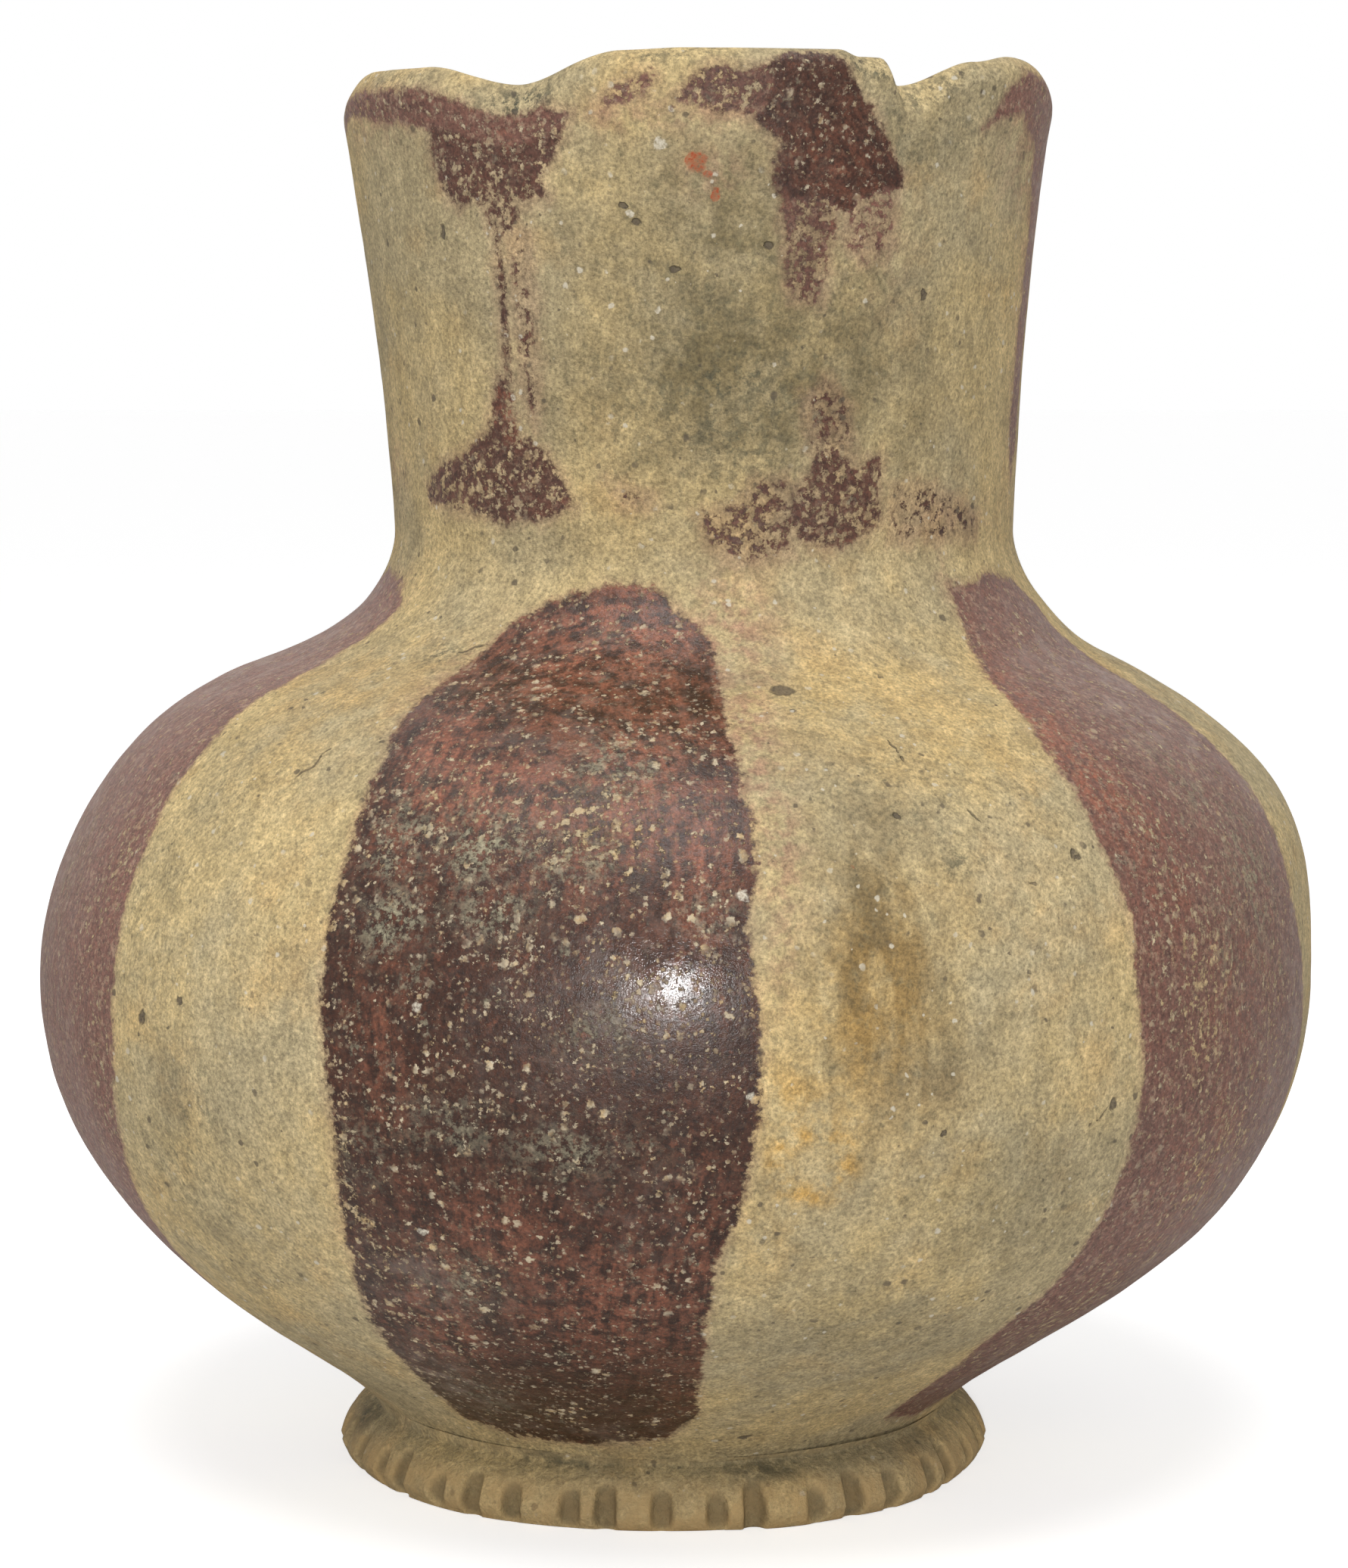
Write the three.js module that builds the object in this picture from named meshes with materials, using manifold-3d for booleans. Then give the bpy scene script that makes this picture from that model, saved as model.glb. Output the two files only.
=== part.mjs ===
// A hand-built pottery jar: a squat round body on a notched ring foot, a wide neck and a pinched rim.
// It is made of the clay pieces that a potter joins with slip: a saucer-shaped base, three courses of wall,
// a neck, a lip coil and a ring foot. Millimetres, +Z up, standing on Z = 0, the viewer on the -Y side.
import * as THREE from "three";
import { mergeVertices } from "three/addons/utils/BufferGeometryUtils.js";
import Module from "manifold-3d";

// Outside outline of the vessel: the radius and height of each station that it passes through.
const UNDERSIDE_RADIUS = 39;
const UNDERSIDE_HEIGHT = 6.5;
const BELLY_RADIUS = 86.9;
const BELLY_HEIGHT = 68.5;
const SHOULDER_RADIUS = 58;
const SHOULDER_HEIGHT = 110.6;
const WAIST_RADIUS = 42.3;
const WAIST_HEIGHT = 128;
const LIP_RADIUS = 48.4;
const LIP_HEIGHT = 188;

// Slope of the outline at the stations, in degrees from the horizontal, pointing up the wall.
const UNDERSIDE_SLOPE = 66;
const UPRIGHT = 90;
const SHOULDER_SLOPE = 157;
const LIP_SLOPE = 80;

// How full each stretch of outline swells at its lower and upper end, as a share of its chord.
const BOWL_FULLNESS = [0.175, 0.508];
const SHOULDER_FULLNESS = [0.52, 0.29];
const THROAT_FULLNESS = [0.64, 0.09];
const NECK_FULLNESS = [0.13, 0.37];

// Wall thickness where the pieces meet, and at the two ends.
const FLOOR_THICKNESS = 7;
const BASE_WALL = 6.4;
const BELLY_WALL = 5.2;
const NECK_ROOT_WALL = 6;
const NECK_WALL = 4.8;
const LIP_WALL = 4.4;

// Where one piece of clay ends and the next begins: how far above or below a station its joint lies.
const BASE_RISE = 10.5;
const BELLY_COURSE_BELOW = 25.5;
const BELLY_COURSE_ABOVE = 22.5;
const NECK_ROOT_ABOVE = 4.9;
const RIM_COIL_HEIGHT = 22.7;
const JOINT_LAP = 3;
const SLIP_GAP = 0.3;

// The lip is rounded over, with its crest nearer the inside than the outside.
const LIP_ROUND_OUTSIDE = 2.2;
const LIP_ROUND_INSIDE = 3.9;

// The lobes and finger pinches of the rim: how far the crest stands below the tallest lobe.
const RIM_WAVE = [
  { angle: -96, drop: 5.4 },
  { angle: -64, drop: 1.9 },
  { angle: -48, drop: 1.7 },
  { angle: -30.5, drop: 4.3 },
  { angle: -12, drop: 0.3 },
  { angle: -2, drop: 0 },
  { angle: 22, drop: 0 },
  { angle: 26, drop: 0.9 },
  { angle: 29.5, drop: 0.95 },
  { angle: 34.3, drop: 4.3 },
  { angle: 50, drop: 0.9 },
  { angle: 60, drop: 0 },
  { angle: 98, drop: 4.4 },
  { angle: 122, drop: 0.9 },
  { angle: 156, drop: 4.9 },
  { angle: 184, drop: 1 },
  { angle: 211, drop: 4.4 },
  { angle: 234, drop: 1.8 },
];
const PINCH_REACH = 17.7;
const PINCH_INWARD = 1.6;
const PINCH_FACET_DROP = 2.2;
const LOBE_FLARE = 0.7;

// Hand-made unevenness: how far to the side the middle of the jar stands, from the foot up to the lip.
const FOOT_SHIFT = -1.6;
const SHOULDER_RISE = SHOULDER_HEIGHT - BELLY_HEIGHT;
const CENTRE_LINE = [
  { height: UNDERSIDE_HEIGHT + BASE_RISE / 2, shift: FOOT_SHIFT },
  { height: (UNDERSIDE_HEIGHT + BELLY_HEIGHT) / 2, shift: 0.3 },
  { height: BELLY_HEIGHT, shift: 0 },
  { height: BELLY_HEIGHT + SHOULDER_RISE * 0.6, shift: 1.6 },
  { height: BELLY_HEIGHT + SHOULDER_RISE * 0.88, shift: 0.8 },
  { height: (SHOULDER_HEIGHT + WAIST_HEIGHT) / 2, shift: 4.1 },
  { height: LIP_HEIGHT, shift: 3 },
];

// The ring foot, and the grooves that a stick pressed into its outer face.
const FOOT_RADIUS = 44.8;
const FOOT_WIDEST_HEIGHT = 2.2;
const FOOT_STANDING_RADIUS = 44;
const FOOT_STANDING_INNER_RADIUS = 35.4;
const FOOT_INNER_RADIUS = 34.2;
const FOOT_EDGE_ROUND = 1.1;
const FOOT_CREASE_RISE = 1.3;
const NOTCH_COUNT = 42;
const NOTCH_WIDTH = 2.9;
const NOTCH_DEPTH = 2;
const NOTCH_TILT = 14;
const NOTCH_WANDER = 1.3;
const NOTCH_DEPTH_SWING = 0.25;
const NOTCH_WANDER_BEAT = 2.4;
const NOTCH_DEPTH_BEAT = 3.7;
const STICK_LENGTH = 24;

// The dish of the floor inside, in shares of its radius: how far its sides sweep down, how wide it lies flat.
const DISH_SWEEP = 0.18;
const DISH_FLAT = 0.6;

// Facets: sides round the wall and round the rim, and steps along each stretch of profile.
const WALL_SIDES = 60;
const RIM_SIDES = 96;
const FOOT_SIDES = 72;
const NOTCH_SIDES = 8;

const wasm = await Module();
wasm.setup();

const degrees = THREE.MathUtils.degToRad;
const smooth = THREE.MathUtils.smoothstep;

const clay = new THREE.MeshStandardMaterial({ color: 0xb09e70, roughness: 0.8 });
const bareClay = new THREE.MeshStandardMaterial({ color: 0x9c8a60, roughness: 0.85 });
const footClay = new THREE.MeshStandardMaterial({ color: 0xa28f5f, roughness: 0.8 });

// A stretch of outline between two stations, leaving and arriving along their slopes.
function stretch(from, to, [fullnessFrom, fullnessTo]) {
  const start = new THREE.Vector2(from.radius, from.height);
  const end = new THREE.Vector2(to.radius, to.height);
  const chord = start.distanceTo(end);
  const along = ({ slope }) => new THREE.Vector2(Math.cos(degrees(slope)), Math.sin(degrees(slope)));
  return new THREE.CubicBezierCurve(
    start,
    start.clone().addScaledVector(along(from), chord * fullnessFrom),
    end.clone().addScaledVector(along(to), -chord * fullnessTo),
    end,
  );
}

// The whole outside outline, from the edge of the flat underside to the outer edge of the lip.
function vesselOutline() {
  const underside = { radius: UNDERSIDE_RADIUS, height: UNDERSIDE_HEIGHT, slope: UNDERSIDE_SLOPE };
  const belly = { radius: BELLY_RADIUS, height: BELLY_HEIGHT, slope: UPRIGHT };
  const shoulder = { radius: SHOULDER_RADIUS, height: SHOULDER_HEIGHT, slope: SHOULDER_SLOPE };
  const waist = { radius: WAIST_RADIUS, height: WAIST_HEIGHT, slope: UPRIGHT };
  const lip = { radius: LIP_RADIUS, height: LIP_HEIGHT, slope: LIP_SLOPE };
  const path = new THREE.CurvePath();
  path.add(stretch(underside, belly, BOWL_FULLNESS));
  path.add(stretch(belly, shoulder, SHOULDER_FULLNESS));
  path.add(stretch(shoulder, waist, THROAT_FULLNESS));
  path.add(stretch(waist, lip, NECK_FULLNESS));
  path.curves.forEach((curve) => (curve.arcLengthDivisions = 400));
  path.arcLengthDivisions = 1600;
  return path;
}

const outline = vesselOutline();
const outlineLength = outline.getLength();

// The distance along the outline at which it reaches a height.
function distanceAt(height) {
  let low = 0;
  let high = outlineLength;
  for (let i = 0; i < 40; i++) {
    const middle = (low + high) / 2;
    if (outline.getPointAt(middle / outlineLength).y < height) low = middle;
    else high = middle;
  }
  return (low + high) / 2;
}

const baseJoint = distanceAt(UNDERSIDE_HEIGHT + BASE_RISE);
const lowerJoint = distanceAt(BELLY_HEIGHT - BELLY_COURSE_BELOW);
const bellyLine = distanceAt(BELLY_HEIGHT);
const upperJoint = distanceAt(BELLY_HEIGHT + BELLY_COURSE_ABOVE);
const neckJoint = distanceAt(SHOULDER_HEIGHT + NECK_ROOT_ABOVE);
const rimJoint = distanceAt(LIP_HEIGHT - RIM_COIL_HEIGHT);

// Wall thickness at a distance along the outline, blended from joint to joint.
function thicknessAt(distance) {
  const marks = [
    [baseJoint, BASE_WALL],
    [bellyLine, BELLY_WALL],
    [neckJoint, NECK_ROOT_WALL],
    [rimJoint, NECK_WALL],
    [outlineLength, LIP_WALL],
  ];
  if (distance <= marks[0][0]) return marks[0][1];
  const next = Math.max(1, marks.findIndex(([at]) => distance <= at));
  const [[from, thin], [to, thick]] = [marks[next - 1], marks[next]];
  return THREE.MathUtils.lerp(thin, thick, smooth(distance, from, to));
}

// A point of the wall: on the outline at a distance along it, or behind it by a depth square to it.
function wallPoint(distance, depth = 0) {
  const u = THREE.MathUtils.clamp(distance / outlineLength, 0, 1);
  const tangent = outline.getTangentAt(u);
  const inward = new THREE.Vector2(-tangent.y, tangent.x);
  return outline.getPointAt(u).addScaledVector(inward, depth);
}

function outsideOf(from, to, steps) {
  return steppedRange(from, to, steps).map((distance) => wallPoint(distance));
}

function insideOf(from, to, steps) {
  return steppedRange(from, to, steps).map((distance) => wallPoint(distance, thicknessAt(distance)));
}

function steppedRange(from, to, steps) {
  return Array.from({ length: steps + 1 }, (_, i) => THREE.MathUtils.lerp(from, to, i / steps));
}

// A closed profile of a length of wall. The joint faces slope, so each piece laps inside the one above.
function wallProfile(from, to, outsideSteps, insideSteps) {
  const start = from + SLIP_GAP / 2;
  const end = to - SLIP_GAP / 2;
  const profile = [
    ...outsideOf(start, end, outsideSteps),
    ...insideOf(end + JOINT_LAP, start + JOINT_LAP, insideSteps),
  ];
  profile.push(profile[0].clone());
  return profile;
}

// The base: a flat underside, the start of the bowl outside, and a dished floor inside.
function baseProfile() {
  const end = baseJoint - SLIP_GAP / 2;
  const innerEnd = wallPoint(end + JOINT_LAP, thicknessAt(end + JOINT_LAP));
  const slope = outline.getTangentAt((end + JOINT_LAP) / outlineLength);
  const floor = new THREE.Vector2(0, UNDERSIDE_HEIGHT + FLOOR_THICKNESS);
  const dish = new THREE.CubicBezierCurve(
    innerEnd,
    innerEnd.clone().addScaledVector(slope, -innerEnd.x * DISH_SWEEP),
    new THREE.Vector2(innerEnd.x * DISH_FLAT, floor.y),
    floor,
  );
  return [new THREE.Vector2(0, UNDERSIDE_HEIGHT), ...outsideOf(0, end, 4), ...dish.getPoints(6)];
}

// The lip coil: the top of the neck, rounded over from the outside to the inside.
function rimProfile() {
  const start = rimJoint + SLIP_GAP / 2;
  const outerEdge = wallPoint(outlineLength);
  const innerEdge = wallPoint(outlineLength, LIP_WALL);
  const up = outline.getTangentAt(1);
  const round = new THREE.CubicBezierCurve(
    outerEdge,
    outerEdge.clone().addScaledVector(up, LIP_ROUND_OUTSIDE),
    innerEdge.clone().addScaledVector(up, LIP_ROUND_INSIDE),
    innerEdge,
  );
  const profile = [
    ...outsideOf(start, outlineLength, 5),
    ...round.getPoints(5).slice(1, -1),
    ...insideOf(outlineLength, start + JOINT_LAP, 3),
  ];
  profile.push(profile[0].clone());
  return profile;
}

// The sideways shift of the jar's centre line at a height, blended from each station to the next.
function centreShift(height) {
  const next = CENTRE_LINE.findIndex((station) => station.height > height);
  const [from, to] = [CENTRE_LINE.at(Math.max(next - 1, 0)), CENTRE_LINE.at(next)];
  if (next < 1) return to.shift;
  return THREE.MathUtils.lerp(from.shift, to.shift, smooth(height, from.height, to.height));
}

// How far the crest of the lip drops at an angle round the rim, blended from each station to the next.
function crestDrop(angle) {
  const turn = (degreesRound) => THREE.MathUtils.euclideanModulo(degreesRound - RIM_WAVE[0].angle, 360);
  const at = turn(THREE.MathUtils.radToDeg(angle));
  const next = RIM_WAVE.findIndex((station) => turn(station.angle) > at);
  const [from, to] = [RIM_WAVE.at(next < 0 ? -1 : next - 1), RIM_WAVE.at(Math.max(next, 0))];
  const start = turn(from.angle);
  const end = next < 0 ? 360 : turn(to.angle);
  return THREE.MathUtils.lerp(from.drop, to.drop, smooth(at, start, end));
}

// Moves the points of a turned geometry to where the potter's hands left them.
function shapeByHand(geometry) {
  const deepest = Math.max(...RIM_WAVE.map(({ drop }) => drop));
  const position = geometry.attributes.position;
  for (let i = 0; i < position.count; i++) {
    const point = new THREE.Vector3().fromBufferAttribute(position, i);
    const angle = Math.atan2(point.x, -point.y);
    const nearLip = smooth(point.z, LIP_HEIGHT - PINCH_REACH, LIP_HEIGHT);
    const pinch = crestDrop(angle) * nearLip;
    const radius = Math.hypot(point.x, point.y);
    const outerEdge = smooth(radius, LIP_RADIUS - LIP_WALL / 2, LIP_RADIUS);
    const drop = pinch + (PINCH_FACET_DROP * outerEdge * pinch) / deepest;
    const inward = (PINCH_INWARD * pinch) / deepest - LOBE_FLARE * nearLip * (1 - pinch / deepest);
    const shaped = radius > 0 ? (radius - inward) / radius : 1;
    position.setXYZ(i, point.x * shaped + centreShift(point.z), point.y * shaped, point.z - drop);
  }
  return geometry;
}

// Turns a profile of (radius, height) points round the Z axis, starting at the front of the jar.
function turned(profile, sides) {
  return new THREE.LatheGeometry(profile, sides).rotateX(Math.PI / 2);
}

function solidOf(geometry) {
  const bare = geometry.index ? geometry.toNonIndexed() : geometry.clone();
  bare.deleteAttribute("normal");
  bare.deleteAttribute("uv");
  const merged = mergeVertices(bare, 1e-3);
  return new wasm.Manifold(
    new wasm.Mesh({
      numProp: 3,
      vertProperties: merged.attributes.position.array,
      triVerts: new Uint32Array(merged.index.array),
    }),
  );
}

function geometryOf(solid) {
  const mesh = solid.getMesh();
  const geometry = new THREE.BufferGeometry();
  geometry.setAttribute("position", new THREE.BufferAttribute(mesh.vertProperties, 3));
  geometry.setIndex(new THREE.BufferAttribute(mesh.triVerts, 1));
  return geometry;
}

// The ring foot before it is notched. Its top follows the underside and the first rise of the bowl.
function footProfile() {
  const creaseHeight = UNDERSIDE_HEIGHT + FOOT_CREASE_RISE;
  const creaseDistance = distanceAt(creaseHeight + SLIP_GAP);
  const seat = steppedRange(creaseDistance, 0, 2).map((distance) => wallPoint(distance, -SLIP_GAP));
  const seatHeight = UNDERSIDE_HEIGHT - SLIP_GAP;
  const standing = new THREE.Vector2(FOOT_STANDING_RADIUS, 0);
  const widest = new THREE.Vector2(FOOT_RADIUS, FOOT_WIDEST_HEIGHT);
  const edge = new THREE.QuadraticBezierCurve(
    new THREE.Vector2(standing.x - FOOT_EDGE_ROUND, 0),
    standing,
    widest,
  );
  const top = new THREE.QuadraticBezierCurve(
    widest,
    new THREE.Vector2(FOOT_RADIUS, (FOOT_WIDEST_HEIGHT + creaseHeight) / 2),
    seat[0],
  );
  const profile = [
    new THREE.Vector2(FOOT_STANDING_INNER_RADIUS, 0),
    ...edge.getPoints(2),
    ...top.getPoints(3).slice(1),
    ...seat.slice(1, -1),
    new THREE.Vector2(UNDERSIDE_RADIUS, seatHeight),
    new THREE.Vector2(FOOT_INNER_RADIUS, seatHeight),
    new THREE.Vector2(FOOT_INNER_RADIUS, FOOT_EDGE_ROUND),
  ];
  profile.push(profile[0].clone());
  return profile;
}

// One upright groove, as the round stick that pressed it, leaning in towards the standing edge.
function notchCutter(index) {
  const spacing = 360 / NOTCH_COUNT;
  const wander = NOTCH_WANDER * Math.sin(index * NOTCH_WANDER_BEAT);
  const depth = NOTCH_DEPTH * (1 + NOTCH_DEPTH_SWING * Math.sin(index * NOTCH_DEPTH_BEAT));
  const stick = new THREE.CylinderGeometry(NOTCH_WIDTH / 2, NOTCH_WIDTH / 2, STICK_LENGTH, NOTCH_SIDES);
  stick.rotateX(Math.PI / 2 + degrees(NOTCH_TILT));
  stick.translate(0, -(FOOT_RADIUS - depth + NOTCH_WIDTH / 2), FOOT_WIDEST_HEIGHT);
  stick.rotateZ(degrees(index * spacing + wander));
  return solidOf(stick);
}

function footGeometry() {
  let ring = solidOf(turned(footProfile(), FOOT_SIDES));
  for (let i = 0; i < NOTCH_COUNT; i++) ring = ring.subtract(notchCutter(i));
  return geometryOf(ring);
}

function piece(name, geometry, material) {
  const mesh = new THREE.Mesh(geometry, material);
  mesh.name = name;
  return mesh;
}

// A course of wall between two joints, with its steps outside and inside.
function course(name, from, to, outsideSteps, insideSteps) {
  const profile = wallProfile(from, to, outsideSteps, insideSteps);
  return piece(name, shapeByHand(turned(profile, WALL_SIDES)), clay);
}

const base = piece("base", shapeByHand(turned(baseProfile(), WALL_SIDES)), bareClay);
const lowerWall = course("lower_wall", baseJoint, lowerJoint, 5, 3);
const bellyWall = course("belly_wall", lowerJoint, upperJoint, 7, 5);
const shoulderWall = course("shoulder_wall", upperJoint, neckJoint, 6, 5);
const neck = course("neck", neckJoint, rimJoint, 6, 5);
const rim = piece("rim", shapeByHand(turned(rimProfile(), RIM_SIDES)), clay);
const foot = piece("foot_ring", footGeometry(), footClay);
foot.position.x = FOOT_SHIFT;

const jar = new THREE.Group();
jar.name = "pottery_jar";
jar.add(base, lowerWall, bellyWall, shoulderWall, neck, rim, foot);

export default jar;
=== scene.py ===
import bpy
import numpy as np
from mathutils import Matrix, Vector


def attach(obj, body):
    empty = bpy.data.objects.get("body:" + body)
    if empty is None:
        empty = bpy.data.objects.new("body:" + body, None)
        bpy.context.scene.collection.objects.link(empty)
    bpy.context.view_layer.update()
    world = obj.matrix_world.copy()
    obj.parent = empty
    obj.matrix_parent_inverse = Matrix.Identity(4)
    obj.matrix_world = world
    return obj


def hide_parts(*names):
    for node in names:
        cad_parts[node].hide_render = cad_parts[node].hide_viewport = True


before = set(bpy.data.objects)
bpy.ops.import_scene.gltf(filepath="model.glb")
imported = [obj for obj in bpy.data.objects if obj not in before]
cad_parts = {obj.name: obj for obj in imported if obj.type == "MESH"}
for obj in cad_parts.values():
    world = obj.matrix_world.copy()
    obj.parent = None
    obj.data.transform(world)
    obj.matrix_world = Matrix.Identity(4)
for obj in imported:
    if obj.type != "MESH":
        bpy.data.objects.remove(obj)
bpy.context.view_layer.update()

MM = 0.001

# Outside outline: radius, height and slope of each station, and how full each stretch swells at its ends.
UNDERSIDE = (39, 6.5, 66)
BELLY = (86.9, 68.5, 90)
SHOULDER = (58, 110.6, 157)
WAIST = (42.3, 128, 90)
LIP = (48.4, 188, 80)
FULLNESS = [(0.175, 0.508), (0.52, 0.29), (0.64, 0.09), (0.13, 0.37)]

# Joints between the pieces, as heights on the outside, and the wall's thickness at the joints and the lip.
BASE_JOINT, LOWER_JOINT, UPPER_JOINT, NECK_JOINT, RIM_JOINT = 17, 43, 91, 115.5, 165.3
BASE_WALL, BELLY_WALL, NECK_ROOT_WALL, NECK_WALL, LIP_WALL = 6.4, 5.2, 6, 4.8, 4.4
FLOOR_THICKNESS = 7
JOINT_LAP = 3
LIP_ROUND_OUTSIDE = 2.2
LIP_ROUND_INSIDE = 3.9

# The rim's lobes and finger pinches: angle, and how far the crest stands below the tallest lobe.
RIM_WAVE = [
    (-96, 5.4), (-64, 1.9), (-48, 1.7), (-30.5, 4.3), (-12, 0.3), (-2, 0), (22, 0), (26, 0.9), (29.5, 0.95),
    (34.3, 4.3), (50, 0.9), (60, 0), (98, 4.4), (122, 0.9), (156, 4.9), (184, 1), (211, 4.4), (234, 1.8),
]
PINCH_REACH = 17.7
PINCH_INWARD = 1.6
PINCH_FACET_DROP = 2.2
LOBE_FLARE = 0.7

# Hand-made unevenness: how far to the side the middle of the jar stands at each height.
FOOT_SHIFT = -1.6
CENTRE_LINE = [(11.75, FOOT_SHIFT), (37.5, 0.3), (68.5, 0), (93.76, 1.6), (105.55, 0.8), (119.3, 4.1), (188, 3)]

# The ring foot and its stick notches.
FOOT_RADIUS = 44.8
FOOT_WIDEST = 2.2
FOOT_STANDING = 44
FOOT_STANDING_INNER = 35.4
FOOT_INNER = 34.2
FOOT_EDGE_ROUND = 1.1
FOOT_CREASE = 7.8
SLIP_GAP = 0.3
NOTCHES = 42
NOTCH_WIDTH = 3.8
NOTCH_DEPTH = 2
NOTCH_SOFT = 0.9
NOTCH_LEAN = -0.08
NOTCH_WANDER = 1.3
FOOT_FILLET = 1.6
FOOT_BANK = (1.3, -0.5)
FEATHER_SINK = 0.06
# Where the hand-rolled ring stands out of its circle: middle angle, half width in degrees, and how far in mm.
FOOT_SWELLS = [(40, 22, 1.3), (-38, 18, 0.7)]
FOOT_SHOULDER = (43.9, 5.4)
# Darker patches round the foot's crease, as middle angle, height, half width and half height in mm, and strength:
# stains and painted crease shade.
CREASE_STAINS_AND_SHADE = [
    (-22, 8.3, 8, 1.4, 1), (-9, 8.5, 8, 1, 0.7), (18.7, 7.1, 8, 1.5, 1), (38, 8, 4, 1.4, 0.6),
    (-76, 6.4, 4, 2.2, 1), (52, 7, 8, 2, 0.5), (100, 8, 16, 3, 0.8), (150, 7, 14, 3, 0.6), (200, 8, 18, 3, 0.8),
    (250, 7, 12, 3, 0.6),
]

# How full the dished floor inside is.
DISH_SWEEP = 0.18
DISH_FLAT = 0.6

# How fine the meshes are: steps round the jar, and the length of a step along the outline, in mm.
ROUND_STEPS = 720
FOOT_ROUND_STEPS = 1260
OUTSIDE_STEP = 0.8
INSIDE_STEP = 2.2
LIP_INSIDE_STEP = 1.2
CREST_STEPS, DISH_STEPS, UNDER_STEPS = 18, 26, 34


def smooth(x, low, high):
    t = np.clip((np.asarray(x, float) - low) / (high - low), 0, 1)
    return t * t * (3 - 2 * t)


def heading(slope):
    return np.array([np.cos(np.radians(slope)), np.sin(np.radians(slope))])


def bezier(points, steps):
    p0, p1, p2, p3 = (np.array(p, float) for p in points)
    t = np.linspace(0, 1, steps + 1)[:, None]
    return (1 - t) ** 3 * p0 + 3 * (1 - t) ** 2 * t * p1 + 3 * (1 - t) * t**2 * p2 + t**3 * p3


def bend(start, corner, end, steps=12):
    t = np.linspace(0, 1, steps + 1)[:, None]
    return (1 - t) ** 2 * np.array(start) + 2 * (1 - t) * t * np.array(corner) + t**2 * np.array(end)


def stretch(start, end, fullness):
    p0, p3 = np.array(start[:2], float), np.array(end[:2], float)
    chord = np.linalg.norm(p3 - p0)
    p1 = p0 + heading(start[2]) * chord * fullness[0]
    p2 = p3 - heading(end[2]) * chord * fullness[1]
    return bezier((p0, p1, p2, p3), 400)


STATIONS = [UNDERSIDE, BELLY, SHOULDER, WAIST, LIP]
PARTS = [stretch(a, b, f) for a, b, f in zip(STATIONS, STATIONS[1:], FULLNESS)]
OUTLINE = np.vstack([PARTS[0]] + [part[1:] for part in PARTS[1:]])
RUN = np.concatenate([[0], np.cumsum(np.hypot(*np.diff(OUTLINE, axis=0).T))])
TANGENT = np.gradient(OUTLINE, RUN, axis=0)
TANGENT /= np.linalg.norm(TANGENT, axis=1)[:, None]
LENGTH = RUN[-1]


def distance_at(height):
    return np.interp(height, OUTLINE[:, 1], RUN)


def along(distance, values):
    return np.stack([np.interp(distance, RUN, values[:, 0]), np.interp(distance, RUN, values[:, 1])], -1)


def thickness_at(distance):
    marks = [distance_at(h) for h in (BASE_JOINT, BELLY[1], NECK_JOINT, RIM_JOINT, LIP[1])]
    walls = [BASE_WALL, BELLY_WALL, NECK_ROOT_WALL, NECK_WALL, LIP_WALL]
    result = np.full(np.shape(distance), float(BASE_WALL))
    for (a, b), (thin, thick) in zip(zip(marks, marks[1:]), zip(walls, walls[1:])):
        inside = (distance > a) & (distance <= b + 1e-6)
        result = np.where(inside, thin + (thick - thin) * smooth(distance, a, b), result)
    return result


def wall_point(distance, depth=0):
    tangent = along(distance, TANGENT)
    inward = np.stack([-tangent[..., 1], tangent[..., 0]], -1)
    return along(distance, OUTLINE) + inward * np.asarray(depth)[..., None]


def steps_between(low, high, step):
    return np.linspace(low, high, max(2, int(np.ceil(abs(high - low) / step)) + 1))


def blended(stations, at):
    """A value at a place, blended softly from each (place, value) station to the next."""
    places, values = np.array(stations, float).T
    i = np.clip(np.searchsorted(places, at, side="right") - 1, 0, len(places) - 2)
    return values[i] + (values[i + 1] - values[i]) * smooth(at, places[i], places[i + 1])


def crest_drop(angle):
    first, drop = RIM_WAVE[0]
    return blended(RIM_WAVE + [(first + 360, drop)], (angle - first) % 360 + first)


def lattice(x, y, z, seed):
    h = (x * 374761393 + y * 668265263 + z * 2147483647 + seed * 1274126177) & 0xFFFFFFFF
    h = ((h ^ (h >> 13)) * 1274126177) & 0xFFFFFFFF
    return ((h ^ (h >> 16)) & 0xFFFF) / 32767.5 - 1


def noise(points, size, seed):
    """Smooth value noise from -1 to 1, with features about size mm across."""
    p = points / size
    cell = np.floor(p).astype(np.int64)
    f = p - cell
    f = f * f * (3 - 2 * f)
    total = 0
    for corner in np.ndindex(2, 2, 2):
        weight = np.where(corner, f, 1 - f).prod(-1)
        total = total + weight * lattice(*np.moveaxis(cell + corner, -1, 0), seed)
    return total


def fine_unevenness(points):
    """How far the hand-made surface stands proud of the true one: dents, tool facets and coarse sand, in mm."""
    squashed = points * [1, 1, 0.55]
    broad = 0.40 * noise(points, 38, 1) + 0.26 * noise(squashed, 15, 2)
    return broad + 0.06 * noise(points, 5, 3) + 0.028 * noise(points, 2.2, 4)


def wiping(points):
    """The low ridges that wiping fingers left round the inside, in mm."""
    return 0.28 * noise(points * [0.12, 0.12, 1], 5, 6) + 0.12 * noise(points * [0.2, 0.2, 1], 2.4, 7)


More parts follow.
